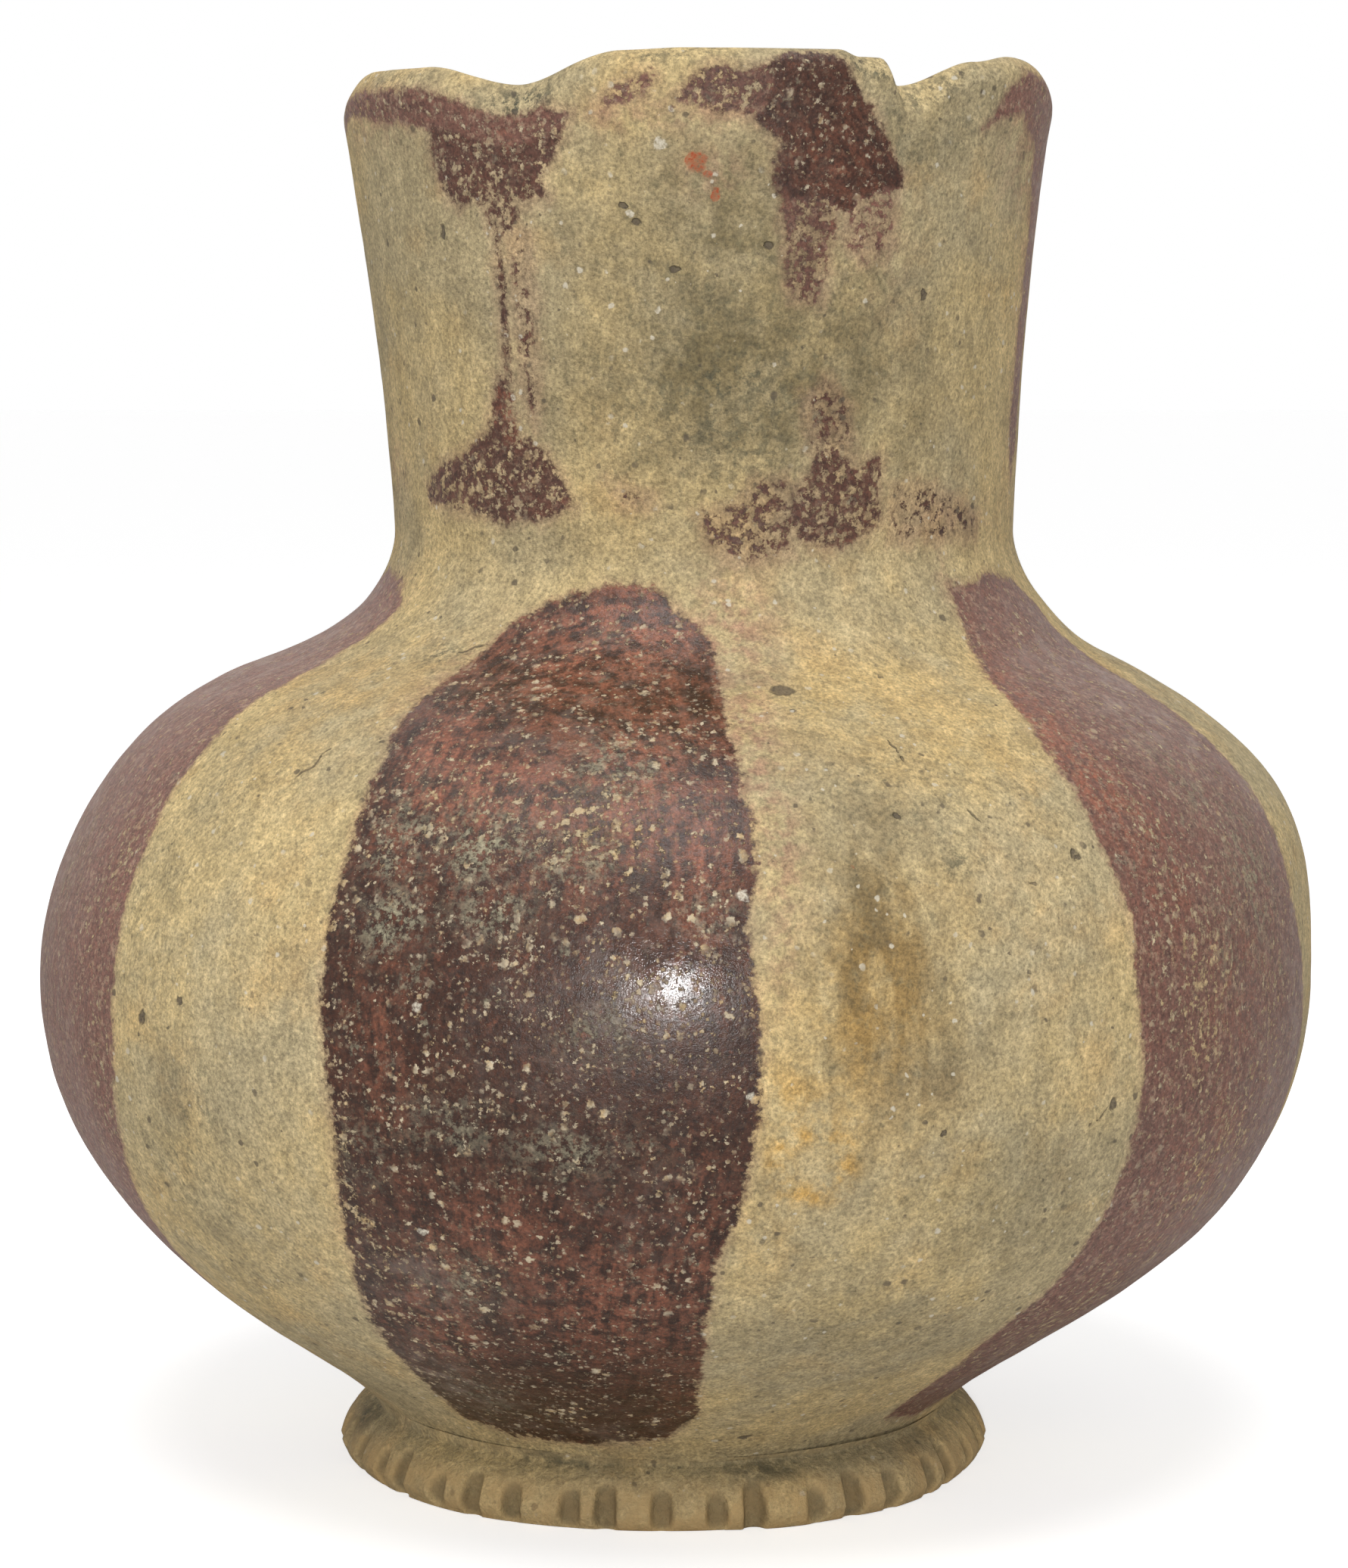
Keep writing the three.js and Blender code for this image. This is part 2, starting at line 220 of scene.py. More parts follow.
def by_hand(radius, height, angle):
    """A point of the turned form, moved to where the potter's hands left it."""
    deepest = max(drop for _, drop in RIM_WAVE)
    near_lip = smooth(height, LIP[1] - PINCH_REACH, LIP[1])
    pinch = crest_drop(angle) * near_lip
    outer_edge = smooth(radius, LIP[0] - LIP_WALL / 2, LIP[0])
    drop = pinch + PINCH_FACET_DROP * outer_edge * pinch / deepest
    radius = radius - PINCH_INWARD * pinch / deepest + LOBE_FLARE * near_lip * (1 - pinch / deepest)
    a = np.radians(angle)
    x, y = radius * np.sin(a), -radius * np.cos(a)
    return np.stack([x + blended(CENTRE_LINE, height), y, height - drop], -1)


class Profile:
    """Rows of a piece, from the bottom of its outside up: point, outward direction and paint height."""

    def __init__(self):
        self.points, self.normals, self.paint = [], [], []
        self.rows = 0
        self.sharp = []

    def add(self, points, normals, paint):
        self.points.append(np.asarray(points, float))
        self.normals.append(np.asarray(normals, float))
        self.paint.append(np.broadcast_to(np.asarray(paint, float), len(points)))
        self.rows += len(points)

    def add_outside(self, start, end, step=OUTSIDE_STEP):
        distances = steps_between(start, end, step)
        points = wall_point(distances)
        self.add(points, outward_at(distances), points[:, 1])

    def add_inside(self, start, end, step=INSIDE_STEP):
        distances = np.minimum(steps_between(start, end, step), LENGTH)
        self.add(wall_point(distances, thickness_at(distances)), -outward_at(distances), UNPAINTED)

    def add_curve(self, points, paint):
        along_curve = np.gradient(points, axis=0)
        normals = np.stack([along_curve[:, 1], -along_curve[:, 0]], -1)
        self.add(points, normals / np.linalg.norm(normals, axis=1)[:, None], paint)

    def joint_here(self):
        """Keeps the ring of edges at the last row crisp."""
        self.sharp.append(self.rows - 1)

    def table(self):
        return tuple(np.concatenate(column) for column in (self.points, self.normals, self.paint))


def outward_at(distance):
    tangent = along(distance, TANGENT)
    return np.stack([tangent[..., 1], -tangent[..., 0]], -1)


def grid_faces(rows, columns, closed):
    """Quads of a grid that closes round the jar and, for a ring, from its last row to its first."""
    row = np.arange(rows if closed else rows - 1)[:, None]
    column = np.arange(columns)[None, :]
    following, above = (column + 1) % columns, (row + 1) % rows
    low, high = row * columns, above * columns
    return np.stack([low + column, low + following, high + following, high + column], -1).reshape(-1, 4)


def cap_faces(row, columns, apex):
    """A fan from a ring to a point on the axis. The first row's fan faces down."""
    ring = row * columns + np.arange(columns)
    following = row * columns + (np.arange(columns) + 1) % columns
    pair = (following, ring) if row == 0 else (ring, following)
    return np.stack([*pair, np.full(columns, apex)], -1)


def make_piece(name, points, columns, sharp_rows, poles, node, fields):
    """A mesh from a grid of points in mm, a ring or, with the two poles given, a disc with a top and a bottom."""
    rows = len(points) // columns
    faces = [grid_faces(rows, columns, not poles)]
    if poles:
        faces += [cap_faces(0, columns, rows * columns), cap_faces(rows - 1, columns, rows * columns + 1)]
        points = np.vstack([points, poles])
    sizes = np.concatenate([np.full(len(group), group.shape[1]) for group in faces])
    mesh = bpy.data.meshes.new(name)
    mesh.vertices.add(len(points))
    mesh.vertices.foreach_set("co", (points * MM).ravel())
    mesh.loops.add(int(sizes.sum()))
    mesh.loops.foreach_set("vertex_index", np.concatenate([group.ravel() for group in faces]).astype(np.int32))
    mesh.polygons.add(len(sizes))
    mesh.polygons.foreach_set("loop_start", np.concatenate([[0], np.cumsum(sizes)[:-1]]).astype(np.int32))
    mesh.update(calc_edges=True)
    mesh.polygons.foreach_set("use_smooth", np.ones(len(sizes), bool))
    ends = np.zeros(len(mesh.edges) * 2, np.int32)
    mesh.edges.foreach_get("vertices", ends)
    edge_rows = ends.reshape(-1, 2) // columns
    sharp = (edge_rows[:, 0] == edge_rows[:, 1]) & np.isin(edge_rows[:, 0], sharp_rows)
    mesh.attributes.new("sharp_edge", "BOOLEAN", "EDGE").data.foreach_set("value", sharp)
    for label, values in fields.items():
        kind, key = ("FLOAT_VECTOR", "vector") if values.ndim > 1 else ("FLOAT", "value")
        padding = [(0, len(points) - len(values))] + [(0, 0)] * (values.ndim - 1)
        layer = mesh.attributes.new(label, kind, "POINT")
        layer.data.foreach_set(key, np.pad(values, padding, mode="edge").astype(np.float32).ravel())
    mesh.validate()
    piece = bpy.data.objects.new(name, mesh)
    bpy.context.scene.collection.objects.link(piece)
    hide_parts(node)
    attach(piece, "root")
    return piece


# Painted shapes are outlines of (angle, height) points. Lobes of slip on the body, as the brush left them:
FRONT_LOBE = [
    (-9, 123), (-3, 119.5), (1.7, 116), (3.8, 111), (5.7, 105), (5.8, 98), (5.7, 91), (5.1, 87), (6, 80), (7, 70),
    (6.8, 65), (6.1, 57), (5.2, 50), (3.8, 45), (2.8, 35), (3.6, 24), (4.8, 17.5), (1, 12.6), (-13, 11.2),
    (-27, 11.2), (-35, 14), (-33.4, 21), (-32.6, 32), (-30.5, 43), (-28.9, 56), (-28.9, 68), (-29.8, 75),
    (-30.3, 84), (-30.9, 95), (-31, 103), (-32.3, 108), (-33, 113.4), (-31.6, 118), (-27, 120.8), (-22, 122),
    (-16, 123.4),
]
RIGHT_LOBE = [
    (74, 119.5), (75, 112), (72, 107), (69.6, 99), (68.8, 90), (69.4, 81), (73, 72), (75, 60), (75, 46), (74, 32),
    (72, 19), (66, 12.6), (52, 11), (42, 12.4), (40.9, 19), (37.6, 28), (39.8, 39), (41.3, 50), (42, 62),
    (41.2, 74), (40.4, 84), (39, 93), (39.6, 101), (41.6, 107.5), (43.4, 113), (45, 118), (46.4, 122.5),
    (60, 123.5), (69, 122.5),
]
LEFT_LOBE = [
    (-60, 119.5), (-62, 114), (-60, 109), (-57, 102), (-57, 96), (-56.3, 89), (-55.6, 82), (-55, 75), (-54.6, 66),
    (-57, 51), (-62, 39), (-66, 29), (-69, 20), (-75, 14), (-85, 12.4), (-93, 16), (-94, 30), (-92, 47), (-91, 62),
    (-92, 77), (-93, 92), (-96, 104), (-96, 114), (-90, 121), (-78, 123.5), (-67, 122.5),
]

# Lobes round the back, each one of the front's turned by an angle, and mirrored where the last number is -1.
BACK_LOBES = [(RIGHT_LOBE, 168, -1), (FRONT_LOBE, 157, -1), (LEFT_LOBE, 303, 1)]

# Strokes of slip on the neck, with how worn each is, and how far it has turned from red-brown to purple.
STROKES = [
    (0.18, 0.8, [(-90, 187), (-72, 189.2), (-53, 189), (-40, 188.6), (-24, 188.2), (-18.5, 184.4), (-21, 182.6),
     (-46, 182.4), (-58, 184), (-74, 186.6), (-90, 184)]),
    (0.26, 0.35, [(-47, 184), (-21, 184), (-21.5, 180), (-25, 175), (-23.6, 171.4), (-29, 170.8), (-31, 167),
     (-36, 168), (-38, 171.4), (-42, 170), (-45, 172.4), (-47, 177)]),
    (0.34, 0.2, [(-36, 172), (-33.4, 172), (-33.2, 158), (-33.6, 150), (-32.6, 141), (-37, 141), (-35.8, 150),
     (-35.4, 160)]),
    (0.70, 0.4, [(-33.4, 170), (-27.6, 168), (-28, 148), (-30, 141), (-32.4, 148)]),
    (0.32, 0.3, [(-57.5, 132.6), (-59, 135), (-53, 138.4), (-45, 140.4), (-40, 143), (-37.4, 150), (-34, 150),
     (-34.6, 143), (-28, 140.6), (-24, 136.4), (-22.6, 133), (-28, 130.8), (-38, 130.6), (-48, 131.4)]),
    (0.46, 0.9, [(-18, 183), (-13, 186.4), (-7, 188.4), (-5, 186.6), (-8, 184), (-14, 182.4)]),
    (0.34, 0.5, [(-5.4, 183), (-2, 186.4), (2, 189), (7, 188.2), (11, 188.6), (14, 186), (10, 181), (5, 182)]),
    (0.02, 0.1, [(10, 188.8), (14, 190.2), (20, 190.4), (23, 188), (27, 184.4), (31, 180), (34.2, 176.6),
     (34.4, 173.6), (30, 171), (25, 169.6), (20, 170.4), (14, 170), (11.8, 173), (11.6, 179), (8, 181.4),
     (9, 185)]),
    (0.50, 0.5, [(12.6, 174), (24, 173), (21.4, 163), (20, 158.4), (14.4, 158.8), (13, 164)]),
    (0.64, 0.9, [(24, 173), (33.6, 175.6), (33.6, 166), (28, 163), (23, 166)]),
    (0.44, 0.3, [(14.5, 131), (14, 134.6), (18, 138), (20, 141.6), (25, 141.6), (27, 138.4), (32.4, 140.2),
     (32.8, 131), (29, 128.6), (22, 127), (16, 128)]),
    (0.68, 0.3, [(17, 147), (21, 150), (26, 146), (27, 140), (18, 140)]),
    (0.62, 0.3, [(-2, 132.6), (5, 134), (9, 137), (14.6, 137), (16, 126.6), (6, 125.6), (0, 127.4)]),
    (0.80, 0.1, [(34, 136), (45, 136), (60, 131), (58, 127.6), (44, 128), (34, 128)]),
    (0.78, 0.3, [(-17, 136.4), (-9, 135.4), (-9, 132.6), (-15, 133)]),
    (0.16, 1.0, [(50, 181.4), (55, 186), (62, 189), (76, 189), (90, 188), (84, 168), (80, 140), (77, 134),
     (73, 142), (76, 167), (70, 180), (64, 182.6), (56, 182.6)]),
    (0.40, 0.7, [(88, 186.5), (150, 188.4), (206, 188.6), (262, 188), (271, 187), (262, 184), (206, 184),
     (150, 184.6)]),
    (0.34, 0.5, [(120, 186), (150, 186), (148, 176), (141, 168), (136, 150), (138, 140), (146, 131), (124, 130),
     (132, 141), (131, 150), (128, 168), (121, 176)]),
    (0.26, 0.4, [(184, 187), (209, 187), (207, 176), (200, 168), (197, 158), (190, 161), (186, 174)]),
    (0.44, 0.5, [(186, 133), (193, 143), (203, 141), (209, 131), (198, 128)]),
    (0.34, 0.6, [(240, 186), (268, 186), (264, 172), (256, 160), (255, 146), (262, 132), (244, 131), (250, 146),
     (250, 160), (244, 174)]),
]

# How far the distance to a painted edge is kept, in mm, a paint height that no outline reaches, and how much
# shorter the brush marks are drawn along the stroke than across it.
PAINT_REACH = 6
UNPAINTED = 400
BRUSH_STRETCH = 0.14


def arc(angle, middle):
    return (np.asarray(angle) - middle + 180) % 360 - 180


def inside_by(outline, radius, height, angle):
    """Distance in from the edge of a painted outline, in mm: negative outside it."""
    turns, heights = np.array(outline, float).T
    middle = (turns.min() + turns.max()) / 2
    scale = np.radians(1) * radius
    u = arc(angle, middle) * scale
    nearest = np.full(height.shape, np.inf)
    crossings = np.zeros(height.shape, bool)
    for i in range(len(turns)):
        j = (i + 1) % len(turns)
        ax, ay = (turns[i] - middle) * scale, heights[i]
        bx, by = (turns[j] - middle) * scale, heights[j]
        ex, ey = bx - ax, by - ay
        t = np.clip(((u - ax) * ex + (height - ay) * ey) / (ex**2 + ey**2), 0, 1)
        nearest = np.minimum(nearest, np.hypot(u - ax - t * ex, height - ay - t * ey))
        if ay != by:
            spans = (ay > height) != (by > height)
            crossings ^= spans & (u < ax + (height - ay) * ex / ey)
    return np.where(crossings, nearest, -nearest)


def painted_shapes():
    """Every outline with its wear and how purple it is: lobes of the body, then strokes of the neck."""
    shapes = [(0.0, 0.0, FRONT_LOBE), (0.06, 0.8, RIGHT_LOBE), (0.04, 1.0, LEFT_LOBE)]
    for outline, turn, way in BACK_LOBES:
        shapes.append((0.05, 0.6, [(turn + way * angle, height) for angle, height in outline]))
    return shapes + STROKES


def paint_fields(radius, height, angle):
    """The slip's distance in from its edge, how worn and how purple it is, and the way that the brush went."""
    paint = np.full(height.shape, -2.0 * PAINT_REACH)
    wear = np.zeros(height.shape)
    tone = np.zeros(height.shape)
    for worn, purple, outline in painted_shapes():
        turns, heights = np.array(outline, float).T
        reach = np.degrees(PAINT_REACH / max(radius.min(), PAINT_REACH))
        near = np.abs(arc(angle, (turns.min() + turns.max()) / 2)) < np.ptp(turns) / 2 + reach
        near &= (height > heights.min() - PAINT_REACH) & (height < heights.max() + PAINT_REACH)
        if not near.any():
            continue
        depth = inside_by(outline, radius[near], height[near], angle[near])
        stronger = depth > paint[near]
        wear[near] = np.where(stronger, worn, wear[near])
        tone[near] = np.where(stronger, purple, tone[near])
        paint[near] = np.maximum(depth, paint[near])
    return paint, wear, tone


# Patches of a soft round shape, by what they do: middle angle, height, half width and half height in mm, strength.
PATCHES = {
    "crust": [
        (-24.5, 85, 4.5, 3.5, 1), (-18, 94, 6, 4, 0.9), (-16, 87, 4, 2.5, 0.9), (-11, 93, 6, 3, 0.7),
        (-26, 94, 4, 5, 0.8), (-6, 103, 5, 3, 0.8), (2, 87, 3, 2, 0.8), (-8, 93, 4, 3, 0.6), (-6, 73, 5, 3, 0.5),
        (-20, 40, 5, 4, 0.5), (-18, 61, 6, 4, 0.5), (-8, 59, 8, 3, 0.55), (-26, 57, 3, 4, 0.5),
        (-26, 20, 4, 4, 0.5), (60, 86, 6, 10, 0.8), (54, 80, 4, 8, 0.5), (56, 98, 5, 6, 0.5),
        (110, 84, 8, 10, 0.9), (168, 92, 9, 7, 0.9), (232, 78, 8, 12, 0.8), (-72, 84, 6, 12, 0.3),
    ],
    "brick": [
        (-14, 115, 20, 11, 1), (-25, 104, 6, 12, 1), (-4, 104, 12, 14, 0.9), (-18, 100, 14, 6, 1),
        (1, 94, 5, 14, 0.7), (-10, 92, 14, 5, 0.5), (-16, 46, 12, 8, 0.6), (-6, 38, 14, 10, 0.7),
        (-24, 33, 6, 8, 0.7), (2, 40, 4, 18, 0.6), (-24, 70, 4, 14, 0.5), (43, 104, 5, 14, 1),
        (46, 90, 5, 10, 0.6), (56, 74, 8, 10, 0.5), (56, 50, 10, 12, 0.5), (116, 112, 16, 9, 0.8),
        (170, 60, 12, 16, 0.6), (172, 110, 12, 10, 0.8), (230, 60, 12, 16, 0.6), (22, 178, 8, 7, 0.3),
        (-35, 146, 2, 4, 1),
    ],
    "ochre": [
        (15, 74, 9, 15, 0.5), (9, 65, 6, 5, 0.9), (13, 62, 6, 4, 0.5), (8, 47, 5, 7, 0.4), (24, 108, 24, 10, 0.35),
        (-44, 108, 10, 10, 0.35), (34, 104, 4, 14, 0.4), (80, 60, 8, 14, 0.6), (142, 80, 9, 16, 0.6),
        (200, 50, 8, 12, 0.6),
    ],
    "polish": [(-1, 80, 9, 8, 1), (100, 80, 14, 12, 0.6), (170, 78, 12, 12, 0.8), (228, 76, 12, 12, 0.7)],
    # Darker brown patches; the strongest is a soft vertical band on the belly, right of the front lobe.
    "brown": [(16.4, 79, 8, 18, 1.5), (20, 70, 7, 8, 1.1), (28, 71, 8, 6, 0.3), (140, 96, 9, 12, 0.6),
        (205, 84, 8, 12, 0.6)],
    # Dark patches: soot stains on the neck and dark spots along the lip; those at (36, 180), (33, 186) and (48,
    # 183) are painted shade in the dent under the rim's right pinch.
    "soot_and_shade": [
        (4, 149, 6, 2.6, 1), (2, 143, 6, 4, 0.7), (12, 150, 12, 7, 0.5), (-6, 146, 10, 8, 0.5),
        (16, 136, 9, 5, 0.5), (3, 158, 12, 10, 0.4), (14, 146, 9, 7, 0.6), (7, 139, 9, 5, 0.6),
        (36, 180, 5, 5, 0.5), (33, 186, 3, 4, 0.5), (48, 183, 9, 4, 0.5), (-29, 189, 6, 2.4, 1.4),
        (-55, 189, 7, 2, 0.8), (-4, 190, 8, 1.6, 0.7), (28, 189.6, 5, 2, 1.2), (40, 190, 8, 2, 0.8),
        (24, 158, 16, 12, 0.35), (-44, 60, 6, 6, 0.55), (-47, 50, 8, 8, 0.4), (-47, 98, 8, 5, 0.4),
        (-52, 84, 8, 12, 0.35), (24, 92, 3, 1.6, 0.9), (22, 100, 9, 6, 0.35), (-39, 114, 4, 1.2, 0.8),
        (146, 150, 14, 10, 0.7), (222, 146, 16, 12, 0.7), (140, 44, 12, 12, 0.5), (204, 110, 14, 8, 0.5),
        (268, 150, 10, 14, 0.5),
    ],
    # Grey mottling; the patch at (36, 180) is painted shade in the dent under the rim's right pinch.
    "grey": [
        (14, 96, 9, 11, 0.5), (25, 80, 12, 12, 0.4), (12, 84, 4, 10, 0.6), (-46, 78, 16, 16, 0.5),
        (-32, 52, 6, 12, 0.5), (24, 56, 16, 16, 0.75), (20, 30, 18, 16, 0.9), (-50, 30, 18, 16, 0.7),
        (8, 160, 26, 16, 0.7), (20, 140, 20, 12, 0.5), (-8, 172, 14, 12, 0.4), (36, 180, 9, 9, 0.9),
        (54, 160, 20, 20, 0.15), (90, 90, 10, 24, 0.5), (150, 60, 10, 24, 0.7), (200, 90, 12, 20, 0.5),
        (262, 80, 10, 24, 0.5), (150, 165, 30, 16, 0.5), (230, 160, 30, 16, 0.6),
    ],
    # Olive mottling; the patch at (36, 181) is painted shade in the dent under the rim's right pinch, and the band
    # at (4, 9) darkens the crease above the foot: stain and painted crease shade.
    "olive": [
        (8, 150, 30, 16, 1.1), (4, 168, 22, 13, 0.95), (26, 150, 16, 20, 0.25), (-20, 158, 16, 16, 0.4),
        (-50, 158, 22, 22, 0.3), (-40, 140, 16, 12, 0.3), (0, 130, 40, 8, 0.45), (36, 181, 8, 6, 0.7),
        (16, 83, 7, 15, 0.4), (20, 32, 24, 14, 0.6), (28, 48, 14, 14, 0.6), (-48, 34, 16, 14, 0.4),
        (-48, 56, 10, 12, 0.25), (4, 9, 40, 3, 0.5), (150, 150, 40, 22, 0.6), (230, 155, 40, 22, 0.6),
        (145, 36, 16, 16, 0.5), (262, 50, 14, 16, 0.5), (200, 60, 12, 20, 0.4), (-32, 92, 3, 8, 0.4),
        (88, 40, 10, 16, 0.4),
    ],
    # Grey-pink bloom of weathered slip, with painted sheen: the patches at (-4, 78) and (-10, 72) paint haze round
    # the highlight, and those on the side lobes, near -80 and 70 degrees, paint their grazing sheen.
    "bloom_and_sheen": [
        (-12, 110, 18, 10, 0.3), (-4, 78, 10, 9, 0.3), (-10, 72, 14, 9, 0.15), (-24, 40, 9, 5, 0.45),
        (-28, 22, 5, 8, 0.7), (-3, 52, 6, 6, 0.25), (-14, 14, 20, 4, 0.3), (-80, 84, 16, 34, 0.7),
        (-66, 66, 6, 26, 0.3), (-84, 110, 20, 12, 0.8), (64, 108, 14, 10, 0.9), (72, 82, 9, 26, 0.9),
        (66, 60, 12, 16, 0.5), (60, 40, 18, 12, 0.6), (60, 22, 20, 10, 0.8), (116, 70, 16, 20, 0.6),
        (170, 80, 16, 20, 0.4), (232, 90, 16, 20, 0.6), (80, 175, 9, 20, 0.8),
    ],
    "wash": [
        (3.6, 117, 6, 7, 1), (7, 106, 4, 9, 1), (8, 95, 3, 10, 0.9), (-33, 112, 3, 6, 0.5), (8, 84, 2, 8, 0.6),
        (-11, 182, 8, 2.4, 0.6), (1, 182, 8, 2, 0.6), (-62, 184, 12, 4, 0.5), (-74, 137, 5, 4, 0.5),
        (50, 131, 16, 3, 0.3), (76, 160, 4, 24, 0.8), (70, 180, 9, 9, 0.9), (2, 175, 4, 3, 0.6),
        (30, 166, 6, 8, 0.3), (46, 123, 2, 4, 0.5), (-66, 121, 6, 3, 0.4), (54, 66, 12, 22, 0.4),
    ],
    "rubbed": [
        (50, 72, 8, 16, 0.34), (56, 52, 9, 11, 0.3), (63, 66, 6, 12, 0.2), (46, 90, 4, 12, 0.25),
        (50, 28, 12, 12, 0.25), (-20, 98, 10, 8, 0.25), (-8, 96, 8, 6, 0.3), (-28, 50, 4, 20, 0.25),
        (-60, 86, 5, 12, 0.25), (-58, 60, 4, 10, 0.25), (-34, 171, 9, 5, 0.3), (-50, 133, 4, 4, 0.2),
        (112, 74, 12, 18, 0.4), (172, 70, 10, 14, 0.3), (232, 74, 12, 16, 0.35),
    ],
}
# A ring-shaped stain: middle angle, height, radius, width of its line and strength.
RING_STAIN = (11, 57, 4.2, 1.8, 1.3)


def patches(spots, radius, height, angle):
    """The strongest of a list of soft patches at each point."""
    total = np.zeros(height.shape)
    for middle, centre, wide, tall, strength in spots:
        u = arc(angle, middle) * np.radians(1) * radius / wide
        total = np.maximum(total, strength * np.exp(-(u**2) - ((height - centre) / tall) ** 2))
    return total


def ring_stain(radius, height, angle):
    middle, centre, ring, width, strength = RING_STAIN
    away = np.hypot(arc(angle, middle) * np.radians(1) * radius, height - centre) - ring
    return strength * np.exp(-((away / width) ** 2))


def surface_fields(points, radius, height, angle):
    """Every painted and stained field of a piece, for its material to read."""
    paint, wear, tone = paint_fields(radius, height, angle)
    brushed = np.stack([paint.ravel(), points[:, 0] * BRUSH_STRETCH, points[:, 2] * BRUSH_STRETCH], -1)
    fields = {label: patches(spots, radius, height, angle) for label, spots in PATCHES.items()}
    fields["wear"] = np.clip(wear + fields.pop("rubbed"), 0, 1)
    fields["ochre"] = np.maximum(fields["ochre"], ring_stain(radius, height, angle))
    fields |= {"paint": np.clip(paint, -PAINT_REACH, PAINT_REACH), "tone": tone}
    return {label: values.ravel() for label, values in fields.items()} | {"brushed": brushed}


def turn(profile, columns):
    """Angle, radius, height and paint height of a profile turned round the jar, and where it faces."""
    points, normals, paint = profile.table()
    angle = np.broadcast_to(np.arange(columns) * 360 / columns, (len(points), columns))
    spread = [np.repeat(column[:, None], columns, axis=1) for column in (*points.T, paint)]
    a = np.radians(angle)
    across, rise = normals[:, :1], np.broadcast_to(normals[:, 1:], angle.shape)
    outward = np.stack([across * np.sin(a), -across * np.cos(a), rise], -1).reshape(-1, 3)
    return angle, spread, outward


def clay_piece(profile, poles, node):
    """One piece of the vessel: a turned profile, shaped by hand, with its unevenness and its surface fields."""
    angle, (radius, height, paint_height), outward = turn(profile, ROUND_STEPS)
    points = by_hand(radius, height, angle).reshape(-1, 3)
    proud = fine_unevenness(points) + np.where(paint_height.ravel() == UNPAINTED, wiping(points), 0)
    fields = surface_fields(points, radius, paint_height, angle)
    points = points + outward * proud[:, None]
    return make_piece(node + "_clay", points, ROUND_STEPS, profile.sharp, poles, node, fields)


def wall_piece(node, start_height, end_height):
    """A course of the wall between two joints, lapped at both."""
    start, end = distance_at(start_height), distance_at(end_height)
    profile = Profile()
    profile.sharp.append(0)
    profile.add_outside(start, end)
    profile.joint_here()
    profile.add_inside(end + JOINT_LAP, start + JOINT_LAP)
    profile.joint_here()
    return clay_piece(profile, [], node)


def base_piece():
    """The base: flat underside, the first rise of the bowl, and the dished floor inside."""
    end = distance_at(BASE_JOINT)
    lapped = np.array([end + JOINT_LAP])
    inner_end = wall_point(lapped, thickness_at(lapped))[0]
    slope = along(lapped, TANGENT)[0]
    floor_height = UNDERSIDE[1] + FLOOR_THICKNESS
    sweep = inner_end - slope * inner_end[0] * DISH_SWEEP
    flat = (inner_end[0] * DISH_FLAT, floor_height)
    dish = bezier((inner_end, sweep, flat, (0, floor_height)), DISH_STEPS)[:-1]
    under = np.stack([np.linspace(1.2, UNDERSIDE[0], UNDER_STEPS), np.full(UNDER_STEPS, UNDERSIDE[1])], -1)
    profile = Profile()
    profile.add(under, np.tile([0.0, -1.0], (UNDER_STEPS, 1)), UNDERSIDE[1])
    profile.joint_here()
    profile.add_outside(OUTSIDE_STEP / 2, end)
    profile.joint_here()
    profile.add_curve(dish, UNPAINTED)
    profile.sharp.append(profile.rows - len(dish))
    poles = [(FOOT_SHIFT, 0, UNDERSIDE[1]), (FOOT_SHIFT, 0, floor_height)]
    return clay_piece(profile, poles, "base")


def rim_piece():
    """The lip coil, rounded over from the outside to the inside."""
    start = distance_at(RIM_JOINT)
    end = np.array([LENGTH])
    outer_edge, inner_edge = wall_point(end)[0], wall_point(end, np.array([LIP_WALL]))[0]
    up = along(end, TANGENT)[0]
    handles = outer_edge + up * LIP_ROUND_OUTSIDE, inner_edge + up * LIP_ROUND_INSIDE
    crest = bezier((outer_edge, *handles, inner_edge), CREST_STEPS)
    over = np.concatenate([[0], np.cumsum(np.hypot(*np.diff(crest, axis=0).T))])
    profile = Profile()
    profile.sharp.append(0)
    profile.add_outside(start, LENGTH)
    profile.add_curve(crest[1:-1], LIP[1] + over[1:-1])
    profile.add_inside(LENGTH, start + JOINT_LAP, LIP_INSIDE_STEP)
    profile.joint_here()
    return clay_piece(profile, [], "rim")


